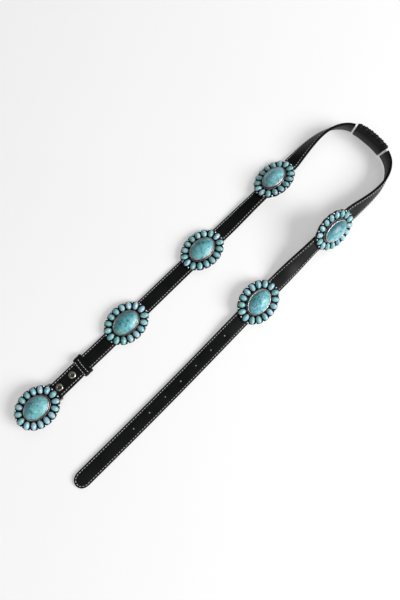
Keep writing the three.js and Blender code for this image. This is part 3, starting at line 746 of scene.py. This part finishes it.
strap_shape, strap_edge, strap_back = build_strap()
hole_frames = []
for i in range(HOLE_COUNT):
    x, at = FIRST_HOLE_X - i * HOLE_PITCH, 845.0
    while route_x(at) > x:
        at += 0.05
    hole_frames.append(frame_at(at))
sink_round_holes(strap_shape, [(f[0], f[2], HOLE_DIA / 2, 0.22) for f in hole_frames])
strap = strap_shape.build("strap_leather_body", LEATHER, 60, {"edge": strap_edge, "back": strap_back})

cuts = Shape()
hole_rng = random.Random(77)
for p, along, out, across in hole_frames:
    # punched from the front: the leather closes up a little towards the back
    low, top, small = STRAP_THICK / 2, HOLE_DIA / 2, hole_rng.uniform(0.30, 0.46)
    cuts.add(*tube([p - out * (low + 1.0), p - out * low * 0.9, p + out * low * 0.2, p + out * (low + 1.0)],
                   [top * (small - 0.04), top * small, top * 0.92, top], 40))
for name, at in CONCHOS:
    p, along, out, across = frame_at(at)
    cuts.add(*cutter(p - out * 6.0, out, 5.4, 2 * (6.0 - STRAP_THICK / 2 + 1.2)))
for x, proud in SNAPS:
    cuts.add(*cutter(np.array([x, STRAIGHT_Y, 4.0]), np.array([0, 0, 1.0]), SNAP_HOLE / 2, 20))
holes = cuts.build("strap_cuts", LEATHER, 60)
through_cuts = Shape()
for name, at in CONCHOS:
    p, along, out, across = frame_at(at)
    through_cuts.add(*cutter(p, out, 2.6, 10))
holes_2 = through_cuts.build("strap_cuts_2", LEATHER, 60)
old_points = np.zeros(len(strap.data.vertices) * 3, np.float32)
strap.data.vertices.foreach_get("co", old_points)
old_points = old_points.reshape(-1, 3)
for other in (holes, holes_2):
    mod = strap.modifiers.new("cut", "BOOLEAN")
    mod.operation, mod.solver, mod.object = "DIFFERENCE", "EXACT", other
    bpy.context.view_layer.update()
    cut = bpy.data.meshes.new_from_object(strap.evaluated_get(bpy.context.evaluated_depsgraph_get()))
    strap.modifiers.clear()
    strap.data = cut
    bpy.data.objects.remove(other)
tree = KDTree(len(old_points))
for i, q in enumerate(old_points):
    tree.insert(q, i)
tree.balance()
new_edge, new_back = [], []
for v in strap.data.vertices:
    _, i, far = tree.find(v.co)
    wall = far > 1e-6
    new_edge.append(max(strap_edge[i], 0.6) if wall else strap_edge[i])
    new_back.append(strap_back[i])
for key, values in (("edge", new_edge), ("back", new_back)):
    if key in strap.data.attributes:
        strap.data.attributes.remove(strap.data.attributes[key])
    strap.data.attributes.new(key, "FLOAT", "POINT").data.foreach_set("value", np.array(values, np.float32))
strap.data.shade_smooth()
strap.data.set_sharp_from_angle(angle=math.radians(50))
while len(strap.data.materials) > 1:
    strap.data.materials.pop()
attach(strap, "belt")
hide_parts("strap")


# ------------------------------------------------------------ the stitching
def stitch(shape, p, along, out, radius, length, sides, rng, seat):
    """One visible stitch: a thread that rises out of the leather and sinks again."""
    side = np.cross(out, along)
    yaw = rng.uniform(-0.05, 0.05)
    d = unit(along + side * yaw)
    half = length / 2 * rng.uniform(0.95, 1.04)
    rows = [(-1.06, -0.42, 0.75), (-0.93, -0.05, 0.95), (-0.62, 0.17, 1.0), (0, 0.24, 1.04), (0.62, 0.17, 1.0), (0.93, -0.05, 0.95), (1.06, -0.42, 0.75)]
    pts = [p + d * (u * half) + out * (h + seat) for u, h, _ in rows]
    v, f = tube(pts, [radius * r for _, _, r in rows], sides)
    local = v - p
    loc = np.stack([local @ d, local @ side, local @ out], 1) + np.array([rng.uniform(0, 50), 0, 0])
    shape.add(v, f, loc=loc, tone=rng.uniform(0, 1))


def stitch_rows(sign, start, radius, sides, seed):
    """Rows along both edges of one face, joined round the tip. sign 1 is the front."""
    rng = random.Random(seed)
    shape = Shape()
    sunk = 0.14 if sign > 0 else 0.24 + radius * 1.04 + 0.02
    n0 = math.ceil(start / PITCH)
    n1 = int((TIP_AT - 0.5) / PITCH)
    for k in range(n0, n1):
        at = (k + 0.5) * PITCH
        if at < 0:
            i = int(min(range(len(STATIONS)), key=lambda q: abs(STATIONS[q][0] - at)))
            _, p, along, out, across, thick = STATIONS[i]
        else:
            p, along, out, across = frame_at(at)
            thick = top_thick(p[0]) if p[0] < -118 and at < 100 else STRAP_THICK
        for a in (HALF - INSET, -(HALF - INSET)):
            q = p + across * a + out * (sign * (thick / 2 - sunk))
            stitch(shape, q, along, out * sign, radius, STITCH, sides, rng, 0.0)
    p, along, out, across = frame_at(TIP_AT)
    path = np.array([[e + ne * INSET, w + nw * INSET] for e, w, ne, nw, s in TIP_RAYS])
    walked = np.concatenate([[0], np.cumsum(np.linalg.norm(np.diff(path, axis=0), axis=1))])
    lead = TIP_AT - n1 * PITCH
    total = walked[-1] + 2 * lead
    count = max(1, round(total / PITCH))
    for k in range(count):
        s = total * (k + 0.5) / count - lead

        def spot(s):
            if s < 0:
                return np.array([s, HALF - INSET])
            if s > walked[-1]:
                return np.array([-(s - walked[-1]), -(HALF - INSET)])
            return np.array([np.interp(s, walked, path[:, i]) for i in (0, 1)])

        c, d = spot(s), unit(spot(s + 0.6) - spot(s - 0.6))
        q = p + along * c[0] + across * c[1] + out * (sign * (STRAP_THICK / 2 - sunk))
        stitch(shape, q, along * d[0] + across * d[1], out * sign, radius, STITCH * total / count / PITCH, sides, rng, 0.0)
    return shape


front_stitches = stitch_rows(1, STITCH_FROM, 0.37, 8, 11).build("stitching_front", THREAD)
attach(front_stitches, "belt")
back_stitches = stitch_rows(-1, 18, 0.34, 6, 12).build("stitching_back", BACK_THREAD)
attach(back_stitches, "belt")


# ---------------------------------------------------------------- a concho
def ring_places(count, phase=0.0):
    fine = np.arange(4001) / 4000 * 2 * math.pi
    pts = np.stack([RING_A * np.cos(fine), RING_B * np.sin(fine)], 1)
    walked = np.concatenate([[0], np.cumsum(np.linalg.norm(np.diff(pts, axis=0), axis=1))])
    out = []
    for k in range(count):
        t = np.interp((k + phase) / count * walked[-1], walked, fine)
        n = unit(np.array([math.cos(t) / RING_A, math.sin(t) / RING_B]))
        out.append((RING_A * math.cos(t), RING_B * math.sin(t), n[0], n[1]))
    return out


def cabochon(a, b, rows, sides, z0, rng, wobble=0.02):
    """A cut stone: rows are (share of the outline, height)."""
    p1, p2 = rng.uniform(0, 6.28), rng.uniform(0, 6.28)
    k1, k2 = rng.uniform(0, wobble), rng.uniform(0, wobble * 0.7)
    shape = lambda t: 1 + k1 * np.cos(2 * t + p1) + k2 * np.cos(3 * t + p2)
    return closed_rows([oval(a * r, b * r, sides, z0 + z, shape) for r, z in rows])


def dome_rows(wall, rise, steps, power=2.0, crown=1.9):
    """Upright girdle, then a dome; a low crown number makes it rounder on top and less steep at the rim."""
    rows = [(0.0, 0.0), (0.93, 0.0), (0.985, 0.12), (1.0, 0.4), (1.0, wall)]
    for i in range(1, steps + 1):
        u = math.sin(i / steps * math.pi / 2)
        r = max(1 - u ** crown, 0) ** (1 / power)
        rows.append((r if i < steps else 0.0, wall + rise * u))
    return rows


def setting_shape(rng):
    """Plate, petal cups, balls and stepped bezel in mm, in the concho's own frame."""
    shape = Shape()
    per = 8
    edge = ring_places(PETALS * per)
    reach = [4.05 + 0.95 * abs(math.cos(math.pi * i / per)) ** 0.8 for i in range(len(edge))]

    def outline(offset, z):
        return np.array([[x + nx * (r + offset), y + ny * (r + offset), z] for (x, y, nx, ny), r in zip(edge, reach)])

    flat = lambda d, z: np.array([[x + nx * d, y + ny * d, z] for x, y, nx, ny in edge])
    rows = [oval(0, 0, len(edge), 0.05), flat(-9, 0.05), flat(1.0, 0.0), outline(-0.3, 0.0), outline(-0.06, 0.12), outline(0, 0.4), outline(0, 1.1),
            outline(-0.1, 1.42), outline(-0.35, 1.58), flat(1.0, 1.6), flat(-3.2, 1.6), flat(-9, 1.6), oval(0, 0, len(edge), 1.6)]
    v, f, d = closed_rows(rows, [0.3, 0.3, 0.3, 0.35, 0.4, 0.4, 0.6, 0.95, 1.0, 1.0, 1.0, 1.0, 1.0])
    shape.add(v, f, dark=d)
    for x, y, nx, ny in ring_places(PETALS):
        a0, b0 = 5.06, 3.54
        prof = [(0, 1.4, 1.0), (0, 2.0, 0.95), (-0.02, 2.5, 0.85), (-0.08, 2.78, 0.7), (-0.16, 2.86, 0.65), (-0.24, 2.8, 0.8), (-0.28, 2.5, 1.0), (-0.28, 1.4, 1.0)]
        sides = 26
        rings = [oval(a0 + o, b0 + o, sides, z) for o, z, _ in prof]
        v = np.concatenate(rings)
        c, s = nx, ny
        v = np.stack([v[:, 0] * c - v[:, 1] * s + x, v[:, 0] * s + v[:, 1] * c + y, v[:, 2]], 1)
        shape.add(v, quads(len(rings), sides, True, True), dark=np.repeat([q[2] for q in prof], sides))
    for x, y, nx, ny in ring_places(PETALS, 0.5):
        r = 1.08
        rows = []
        for i in range(9):
            a = -math.pi / 2 + math.pi * i / 8
            rows.append(oval(r * math.cos(a), r * math.cos(a), 12, r * math.sin(a)) if 0 < i < 8 else oval(0, 0, 12, r * math.sin(a)))
        v, f, _ = closed_rows(rows)
        lift = np.array([x + nx * 3.7, y + ny * 3.7, 2.3])
        shape.add(v + lift, f, dark=np.clip(0.0 - v[:, 2] * 0.8, -0.25, 1))
    sides = 96
    step = [(0.0, 1.4, 1.0), (0.05, 2.2, 0.7), (0.03, 2.9, 0.4), (-0.06, 3.3, 0.22), (-0.3, 3.52, 0.12), (-0.62, 3.5, 0.2), (-0.86, 3.25, 0.7), (-0.96, 3.0, 1.0),
            (-1.04, 3.3, 0.9), (-1.06, 4.4, 0.5), (-1.1, 5.3, 0.3), (-1.22, 5.86, 0.15), (-1.5, 6.16, 0.06), (-1.82, 6.18, 0.1), (-2.06, 5.98, 0.5), (-2.16, 5.6, 1.0), (-2.14, 1.4, 1.0)]
    rings = [oval(BEZEL_A + o, BEZEL_B + o, sides, z) for o, z, _ in step]
    shape.add(np.concatenate(rings), quads(len(rings), sides, True, True), dark=np.repeat([q[2] for q in step], sides))
    return shape


def petals_shape(rng):
    shape = Shape()
    for x, y, nx, ny in ring_places(PETALS):
        a, b = 4.78 * rng.uniform(0.98, 1.01), 3.25 * rng.uniform(0.96, 1.01)
        rows = dome_rows(0.9, 2.7 * rng.uniform(0.93, 1.03), 11, 1.95, 1.35)
        v, f, _ = cabochon(a, b, rows, 28, 1.75, rng)
        turn = math.atan2(ny, nx) + rng.uniform(-0.04, 0.04)
        c, s = math.cos(turn), math.sin(turn)
        w = np.stack([v[:, 0] * c - v[:, 1] * s + x, v[:, 0] * s + v[:, 1] * c + y, v[:, 2]], 1)
        seed = np.array([rng.uniform(0, 900), rng.uniform(0, 900), rng.uniform(0, 900)])
        shape.add(w, f, loc=v + seed, tone=rng.uniform(0.1, 0.9))
    return shape


def stone_shape(rng, depth, side):
    shape = Shape()
    rows = dome_rows(3.9, 4.8, 24, 2.0, 1.1)
    v, f, _ = cabochon(BEZEL_A - 2.2, BEZEL_B - 2.2, rows, 80, 1.9, rng, 0.006)
    seed = np.array([rng.uniform(0, 900), rng.uniform(0, 900), rng.uniform(0, 900)])
    # painted shade: the dark attribute grades the stone darker towards the side the light falls away from
    shape.add(v, f, loc=v + seed, tone=rng.uniform(0.4, 0.6), dark=np.interp(side * v[:, 1] / (BEZEL_B - 2.2), [-1, 1], depth))
    return shape


def screw_shape():
    """Flat slotted head and its barrel, at the back of the strap."""
    shape = Shape()
    low = -(STRAP_THICK + STAND_OFF) + 0.15
    sides = 48
    rows = [oval(0, 0, sides, low + 0.0), oval(1.6, 1.6, sides, low), oval(3.4, 3.4, sides, low), oval(4.4, 4.4, sides, low + 0.02), oval(4.8, 4.8, sides, low + 0.12),
            oval(4.98, 4.98, sides, low + 0.32), oval(5.0, 5.0, sides, low + 0.6), oval(4.95, 4.95, sides, low + 0.9), oval(2.3, 2.3, sides, low + 0.9), oval(2.3, 2.3, sides, -GAP), oval(0, 0, sides, -GAP)]
    v, f, d = closed_rows(rows, [0.2, 0.1, 0.05, 0.0, 0.1, 0.3, 0.5, 0.8, 0.8, 0.3, 0.2])
    shape.add(v, f, dark=d)
    return shape


def place_concho(name, body, p, along, out, across, seat, seed, stretch=None, extra_setting=None):
    basis, origin = np.array([along, -across, out]), p + out * seat
    rng = random.Random(seed)
    setting, petals, stone = setting_shape(rng), petals_shape(rng), stone_shape(rng, STONE_SIDE_SHADE[name], -np.sign(basis[1][1]))
    c, s = math.cos(math.radians(TURNS[name])), math.sin(math.radians(TURNS[name]))
    turn = np.array([[c, s, 0], [-s, c, 0], [0, 0, 1]])
    for shape in (setting, petals, stone):
        shape.v = [(v if stretch is None else v * stretch) @ turn for v in shape.v]
    if extra_setting is not None:
        extra_setting(setting)
    parts = [(f"{name}_setting", setting, SILVER, "antique_silver", 45), (f"{name}_petals", petals, PETAL, "turquoise_petals", 60),
             (f"{name}_stone", stone, STONE, "turquoise_stone", 60)]
    made = []
    for node, shape, material, slot, angle in parts:
        ob = shape.moved(basis, origin).build(node + "_detail", material, angle)
        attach(ob, body)
        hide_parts(node)
        made.append(ob)
    return made


def add_loop_and_hook(shape):
    bx, bz, leg = BAR_X - BUCKLE_X, BAR_Z - BUCKLE_Z, LEG_Y
    half = [(22.3, leg, 0.7), (23.2, leg, -1.5), (24.6, leg, bz + 1.8), (bx, leg - 0.35, bz + 0.35), (bx, leg - 1.9, bz), (bx, 4, bz)]
    pts = half + [(x, -y, z) for x, y, z in reversed(half)]
    v, f = tube(through(pts, 7), BAR_DIA / 2, 18)
    shape.add(v, f, dark=0.25)
    low = -BUCKLE_Z + HOOK_DIA / 2 * math.cos(math.pi / 8) + 0.06
    line = through([(-13.5, 0, 0.6), (-13.8, 0, -3.5), (-15.0, 0, -6.8), (-17.8, 0, low + 0.1), (-21, 0, low), (-25, 0, low)], 8)
    walked = np.concatenate([[0], np.cumsum(np.linalg.norm(np.diff(line, axis=0), axis=1))])
    left = walked[-1] - walked
    radius = HOOK_DIA / 2 * np.sqrt(np.clip(1 - (1 - np.clip(left / 1.3, 0, 1)) ** 2, 0.02, 1))
    v, f = tube(line, radius, 18)
    v[:, 2] = np.maximum(v[:, 2], -BUCKLE_Z + 0.02)
    shape.add(v, f, dark=0.2)


for i, (name, at) in enumerate(CONCHOS):
    p, along, out, across = frame_at(at)
    place_concho(name, "belt", p, along, out, across, STRAP_THICK / 2 + STAND_OFF, 100 + i)
    screw = screw_shape().moved(np.array([along, -across, out]), p + out * (STRAP_THICK / 2 + STAND_OFF)).build(f"{name}_screw_detail", NICKEL, 35)
    slot_cut = Shape()
    low = -(STRAP_THICK + STAND_OFF) + 0.15
    box = np.array([[x, y, z] for x in (-6, 6) for y in (-0.55, 0.55) for z in (low - 1, low + 0.45)])
    slot_cut.add(box, [(0, 1, 3, 2), (4, 6, 7, 5), (0, 4, 5, 1), (2, 3, 7, 6), (0, 2, 6, 4), (1, 5, 7, 3)])
    cut_ob = slot_cut.moved(np.array([along, -across, out]), p + out * (STRAP_THICK / 2 + STAND_OFF)).build("slot_cut", NICKEL, 35)
    mod = screw.modifiers.new("cut", "BOOLEAN")
    mod.operation, mod.solver, mod.object = "DIFFERENCE", "EXACT", cut_ob
    bpy.context.view_layer.update()
    screw.data = bpy.data.meshes.new_from_object(screw.evaluated_get(bpy.context.evaluated_depsgraph_get()))
    screw.modifiers.clear()
    while len(screw.data.materials) > 1:
        screw.data.materials.pop()
    screw.data.shade_smooth()
    screw.data.set_sharp_from_angle(angle=math.radians(35))
    bpy.data.objects.remove(cut_ob)
    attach(screw, "belt")
    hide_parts(f"{name}_screw")

place_concho("buckle", "buckle", np.array([BUCKLE_X, STRAIGHT_Y, BUCKLE_Z]), np.array([1.0, 0, 0]), np.array([0, 0, 1.0]), np.array([0, -1.0, 0]), 0.0, 99, BUCKLE_STRETCH, add_loop_and_hook)


# ----------------------------------------------------------------- the snaps
def lathe(rows, sides, centre, dark):
    v, f, d = closed_rows([oval(r, r, sides, z) for r, z in rows], dark)
    return v + centre, f, d, v


for i, (x, proud) in enumerate(SNAPS):
    top = top_z(x) + top_thick(x) / 2 + proud
    low = top_z(x) - top_thick(x) / 2 + 0.2
    r = SNAP_DIA / 2
    cap_rows = [(0, low), (1.7, low), (1.7, top), (r - 0.35, top), (r - 0.08, top + 0.08), (r, top + 0.3), (r - 0.06, top + 0.6), (r - 0.35, top + 0.98), (r - 0.85, top + 1.32),
                (r - 1.45, top + 1.54), (r - 1.95, top + 1.6), (r - 2.3, top + 1.55), (r - 2.5, top + 1.38), (r - 2.62, top + 1.2), (r - 2.85, top + 1.1), (1.0, top + 1.08), (0, top + 1.12)]
    # painted shade: the cap is darker in the fold under its rim and in the centre dimple, where shade falls, and left
    # lightest on the crest of the dome
    dark = [0.5, 0.5, 0.5, 0.9, 0.8, 0.6, 0.35, 0.15, 0.05, 0, 0.05, 0.3, 0.75, 0.95, 0.85, 0.55, 0.35]
    v, f, d, local = lathe(cap_rows, 56, np.array([x, STRAIGHT_Y, 0]), dark)
    shape = Shape()
    shape.add(v, f, loc=local + np.array([i * 40.0, 0, 0]), dark=d)
    cap = shape.build(f"snap_{i + 1}_cap_detail", NICKEL, 60)
    stud_rows = [(0, 0.35), (1.1, 0.35), (1.3, 0.12), (1.6, 0.0), (r - 1.35, 0), (r - 1.02, 0.1), (r - 0.9, 0.35), (r - 0.9, 0.6), (r - 1.05, 0.8), (1.7, 0.8), (1.7, low - 0.3), (0, low - 0.3)]
    v, f, d, local = lathe(stud_rows, 48, np.array([x, STRAIGHT_Y, 0]), [0.7, 0.6, 0.3, 0.1, 0, 0, 0.1, 0.2, 0.4, 0.6, 0.3, 0.2])
    shape = Shape()
    shape.add(v, f, loc=local, dark=d)
    stud = shape.build(f"snap_{i + 1}_stud_detail", NICKEL, 50)
    for ob, node in ((cap, f"snap_{i + 1}_cap"), (stud, f"snap_{i + 1}_stud")):
        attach(ob, "belt")
        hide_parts(node)


# ---------------------------------------------------------------- the keeper
def rounded_loop(w, h, r, per_corner, per_side):
    """Rounded rectangle with its outward normals, counter-clockwise from the right side."""
    pts = []
    corners = [(w / 2 - r, h / 2 - r, 0), (-w / 2 + r, h / 2 - r, 1), (-w / 2 + r, -h / 2 + r, 2), (w / 2 - r, -h / 2 + r, 3)]
    for k, (cx, cy, q) in enumerate(corners):
        for i in range(per_corner + 1):
            t = (q + i / per_corner) * math.pi / 2
            pts.append((cx + r * math.cos(t), cy + r * math.sin(t), math.cos(t), math.sin(t)))
        nx, ny, nq = corners[(k + 1) % 4]
        a = pts[-1]
        b = (nx + r * math.cos(nq * math.pi / 2), ny + r * math.sin(nq * math.pi / 2))
        n = per_side[k % 2]
        for i in range(1, n):
            pts.append((a[0] + (b[0] - a[0]) * i / n, a[1] + (b[1] - a[1]) * i / n, a[2], a[3]))
    return pts


KEEPER_ROWS = [-0.5 * KEEPER_LENGTH + 1.15, 0.55]      # two rows of stitches across it


def keeper_height(u):
    """How far the outer face stands above the middle of the wall at u along the strap."""
    h = 0.95
    for c in KEEPER_ROWS:
        h -= 0.34 * math.exp(-((u - c) / 0.42) ** 2)
    h += 0.16 * math.exp(-((u + 1.9) / 1.4) ** 2) + 0.16 * math.exp(-((u - 3.1) / 1.5) ** 2)
    return h


def keeper_section():
    """Closed loop of (along, outward from the wall's middle, edge)."""
    half, t = KEEPER_LENGTH / 2, KEEPER_WALL / 2
    out = []
    us = sorted(set([round(-half + 0.7 + i * (2 * half - 1.4) / 20, 4) for i in range(21)] + KEEPER_ROWS))
    for u in us:
        out.append((u, keeper_height(u), 0.0))
    for a in (65, 40, 15):
        out.append((half - 0.7 + 0.7 * math.cos(math.radians(a)), t - 0.7 + 0.7 * math.sin(math.radians(a)), 1.0))
    out.append((half, -t + 0.4, 1.0))
    out.append((half - 0.35, -t, 0.6))
    for i in range(1, 8):
        out.append((half - 0.35 - (2 * half - 0.7) * i / 8, -t, 0.0))
    out.append((-half + 0.35, -t, 0.6))
    out.append((-half, -t + 0.4, 1.0))
    for a in (165, 140, 115):
        out.append((-half + 0.7 + 0.7 * math.cos(math.radians(a)), t - 0.7 + 0.7 * math.sin(math.radians(a)), 1.0))
    return out


def keeper_skew(y):
    """How far along the strap the keeper is pushed at y: its middle is bowed towards the buckle."""
    return y * 0.075 + 0.4 - 0.8 * (1 - min(1.0, abs(y) / 11.5) ** 2)


def build_keeper():
    w, h = KEEPER_WIDTH - KEEPER_WALL, KEEPER_HEIGHT - KEEPER_WALL
    loop = rounded_loop(w, h, 1.9, 7, (22, 5))
    section = keeper_section()
    verts, edge = [], []
    for y, z, ny, nz in loop:
        for u, o, e in section:
            o2 = o
            if nz < -0.9 and o > 0:
                o2 = min(o, KEEPER_WALL / 2)
            verts.append((KEEPER_X + u + keeper_skew(y), STRAIGHT_Y + y + ny * o2, KEEPER_HEIGHT / 2 + z + nz * o2 + (0.12 * math.cos(y / w * math.pi) if nz > 0.9 else 0)))
            edge.append(e)
    shape = Shape()
    shape.add(np.array(verts), quads(len(loop), len(section), True, True))
    return shape, edge


shape, keeper_edge = build_keeper()
keeper = shape.build("keeper_loop", LEATHER, 60, {"edge": keeper_edge, "back": [0.0] * len(keeper_edge)})
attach(keeper, "belt")
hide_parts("keeper")
shape = Shape()
rng = random.Random(21)
for c in KEEPER_ROWS:
    n = 6
    for i in range(n):
        y = -10.9 + 20.2 * (i + 0.5) / n
        z = KEEPER_HEIGHT / 2 + (KEEPER_HEIGHT - KEEPER_WALL) / 2 + keeper_height(c) + 0.12 * math.cos(y / (KEEPER_WIDTH - KEEPER_WALL) * math.pi)
        stitch(shape, np.array([KEEPER_X + c + keeper_skew(y), STRAIGHT_Y + y, z]), unit(np.array([0.075 + 1.6 * y / 132.25, 1.0, 0])), np.array([0, 0, 1.0]), 0.36, 1.75, 8, rng, 0.10)
keeper_stitches = shape.build("keeper_stitching", THREAD)
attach(keeper_stitches, "belt")


# ------------------------------------------------- the sleeve and its bands
def slanted_frame(at):
    """The strap's frame, leaning more and more towards the sleeve's far end."""
    p, along, out, across = frame_at(at)
    lean = SLEEVE_SLANT * min(max((at - SLEEVE_AT) / (SLEEVE_LENGTH / 2), 0), 1)
    return p, along, out, across + along * lean


def tube_round_strap(start, end, clear, wall, step, gathers, round_=1.0):
    """A soft tube round the strap; gathers is the height of the folds along it."""
    width = STRAP_WIDTH + 2 * clear + wall
    section_loop = rounded_loop(width, STRAP_THICK + 2 * clear + wall, round_, 5, (26, 4))
    rows, n = [], max(2, int(round((end - start) / step)))
    ends = 0.45
    for layer in (1, -1):
        line = []
        for i in range(n + 1):
            at = start + (end - start) * i / n
            p, along, out, across = slanted_frame(at)
            grow = wall / 2
            near = min(at - start, end - at)
            if layer > 0 and near < ends:
                grow = wall / 2 * math.sqrt(max(0.04, 1 - (1 - near / ends) ** 2)) if near > 0 else 0.0
            pts = []
            for a, b, na, nb in section_loop:
                o = layer * grow if layer > 0 else -wall / 2
                if layer > 0 and gathers > 0 and near >= ends:
                    s = at - start + 0.25 * math.sin(a * 0.8)
                    fold = abs(math.cos(math.pi * (s + 0.9 * math.sin(s * 0.75)) / 4.0)) ** 1.3 - 0.5
                    fine = math.cos(2 * math.pi * (s + 0.2 * math.sin(a * 0.55)) / 1.3)
                    edge = 1.0 if abs(na) > 0.5 else 0.35 * (abs(a) / (width / 2)) ** 4
                    if a * across[2] < 0:
                        edge *= 0.2             # the edge it stands on is nearly straight
                    o += gathers * (fold * edge * min(1.0, near / 1.2) + 0.14 * fine * (1 - 0.6 * edge))
                    o += 0.32 * (1 - (2 * a / width) ** 2) * abs(nb) * min(1.0, near / 6.0)
                pts.append(p + across * (a + na * o) + out * (b + nb * o))
            line.append(np.array(pts))
        rows.append(line)
    rings = rows[0] + list(reversed(rows[1]))
    shape = Shape()
    shape.add(np.concatenate(rings), quads(len(rings), len(section_loop), True, True))
    return shape


half = SLEEVE_LENGTH / 2
sleeve = tube_round_strap(SLEEVE_AT - half, SLEEVE_AT + half, GAP * 0.6, SLEEVE_WALL, 0.26, 1.15).build("centre_sleeve_detail", SLEEVE, 60)
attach(sleeve, "belt")
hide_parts("centre_sleeve")
for i, start in enumerate((SLEEVE_AT - half - GAP - BAND_LENGTH, SLEEVE_AT + half + GAP)):
    band = tube_round_strap(start, start + BAND_LENGTH, GAP * 0.6, BAND_WALL, 0.18, 0.0).build(f"white_band_{i + 1}_detail", BAND, 60)
    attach(band, "belt")
    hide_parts(f"white_band_{i + 1}")


# ------------------------------------------------------------ floor and light
bpy.ops.mesh.primitive_grid_add(x_subdivisions=4, y_subdivisions=4, size=8, location=(0, 0, 0))
floor = bpy.context.object
floor.name = "floor"
floor.data.materials.append(floor_material())

world = bpy.data.worlds.new("studio")
bpy.context.scene.world = world
world.use_nodes = True
world.node_tree.nodes["Background"].inputs["Color"].default_value = (1.0, 1.0, 1.0, 1)
world.node_tree.nodes["Background"].inputs["Strength"].default_value = 0.16
bpy.context.scene.view_settings.view_transform = "Standard"


def area_light(name, place, target, size, power, color=(1, 1, 1)):
    data = bpy.data.lights.new(name, "AREA")
    data.shape, data.size, data.size_y, data.energy, data.color = "RECTANGLE", size[0], size[1], power, color
    ob = bpy.data.objects.new(name, data)
    bpy.context.scene.collection.objects.link(ob)
    ob.location = place
    ob.rotation_mode = "QUATERNION"
    ob.rotation_quaternion = (Vector(target) - Vector(place)).to_track_quat("-Z", "Y")
    return ob


area_light("key", (1.23, -2.42, 1.70), (0, 0, 0), (1.9, 1.7), 140)
area_light("fill_near", (-1.33, -0.48, 1.69), (0, 0, 0), (1.3, 1.3), 6)
area_light("fill_far", (1.33, 0.48, 1.69), (0, 0, 0), (1.3, 1.3), 6)

# -------------------------------------------------------------------- camera
camera_data = bpy.data.cameras.new("camera")
camera_data.lens, camera_data.sensor_width, camera_data.sensor_fit = 27.0, 36.0, "AUTO"
camera_data.clip_start, camera_data.clip_end = 0.01, 20
camera = bpy.data.objects.new("camera", camera_data)
bpy.context.scene.collection.objects.link(camera)
elevation, distance = math.radians(80.3), 0.544
back = Vector((-0.70711 * math.cos(elevation), -0.70711 * math.cos(elevation), math.sin(elevation)))
right = Vector((0.70711, -0.70711, 0))
up = back.cross(right)
target = Vector((float(OFFSET[0]), float(OFFSET[1]), 0))
place = target + back * distance
camera.matrix_world = Matrix(((right.x, up.x, back.x, place.x), (right.y, up.y, back.y, place.y), (right.z, up.z, back.z, place.z), (0, 0, 0, 1)))
bpy.context.scene.camera = camera

bpy.context.view_layer.update()
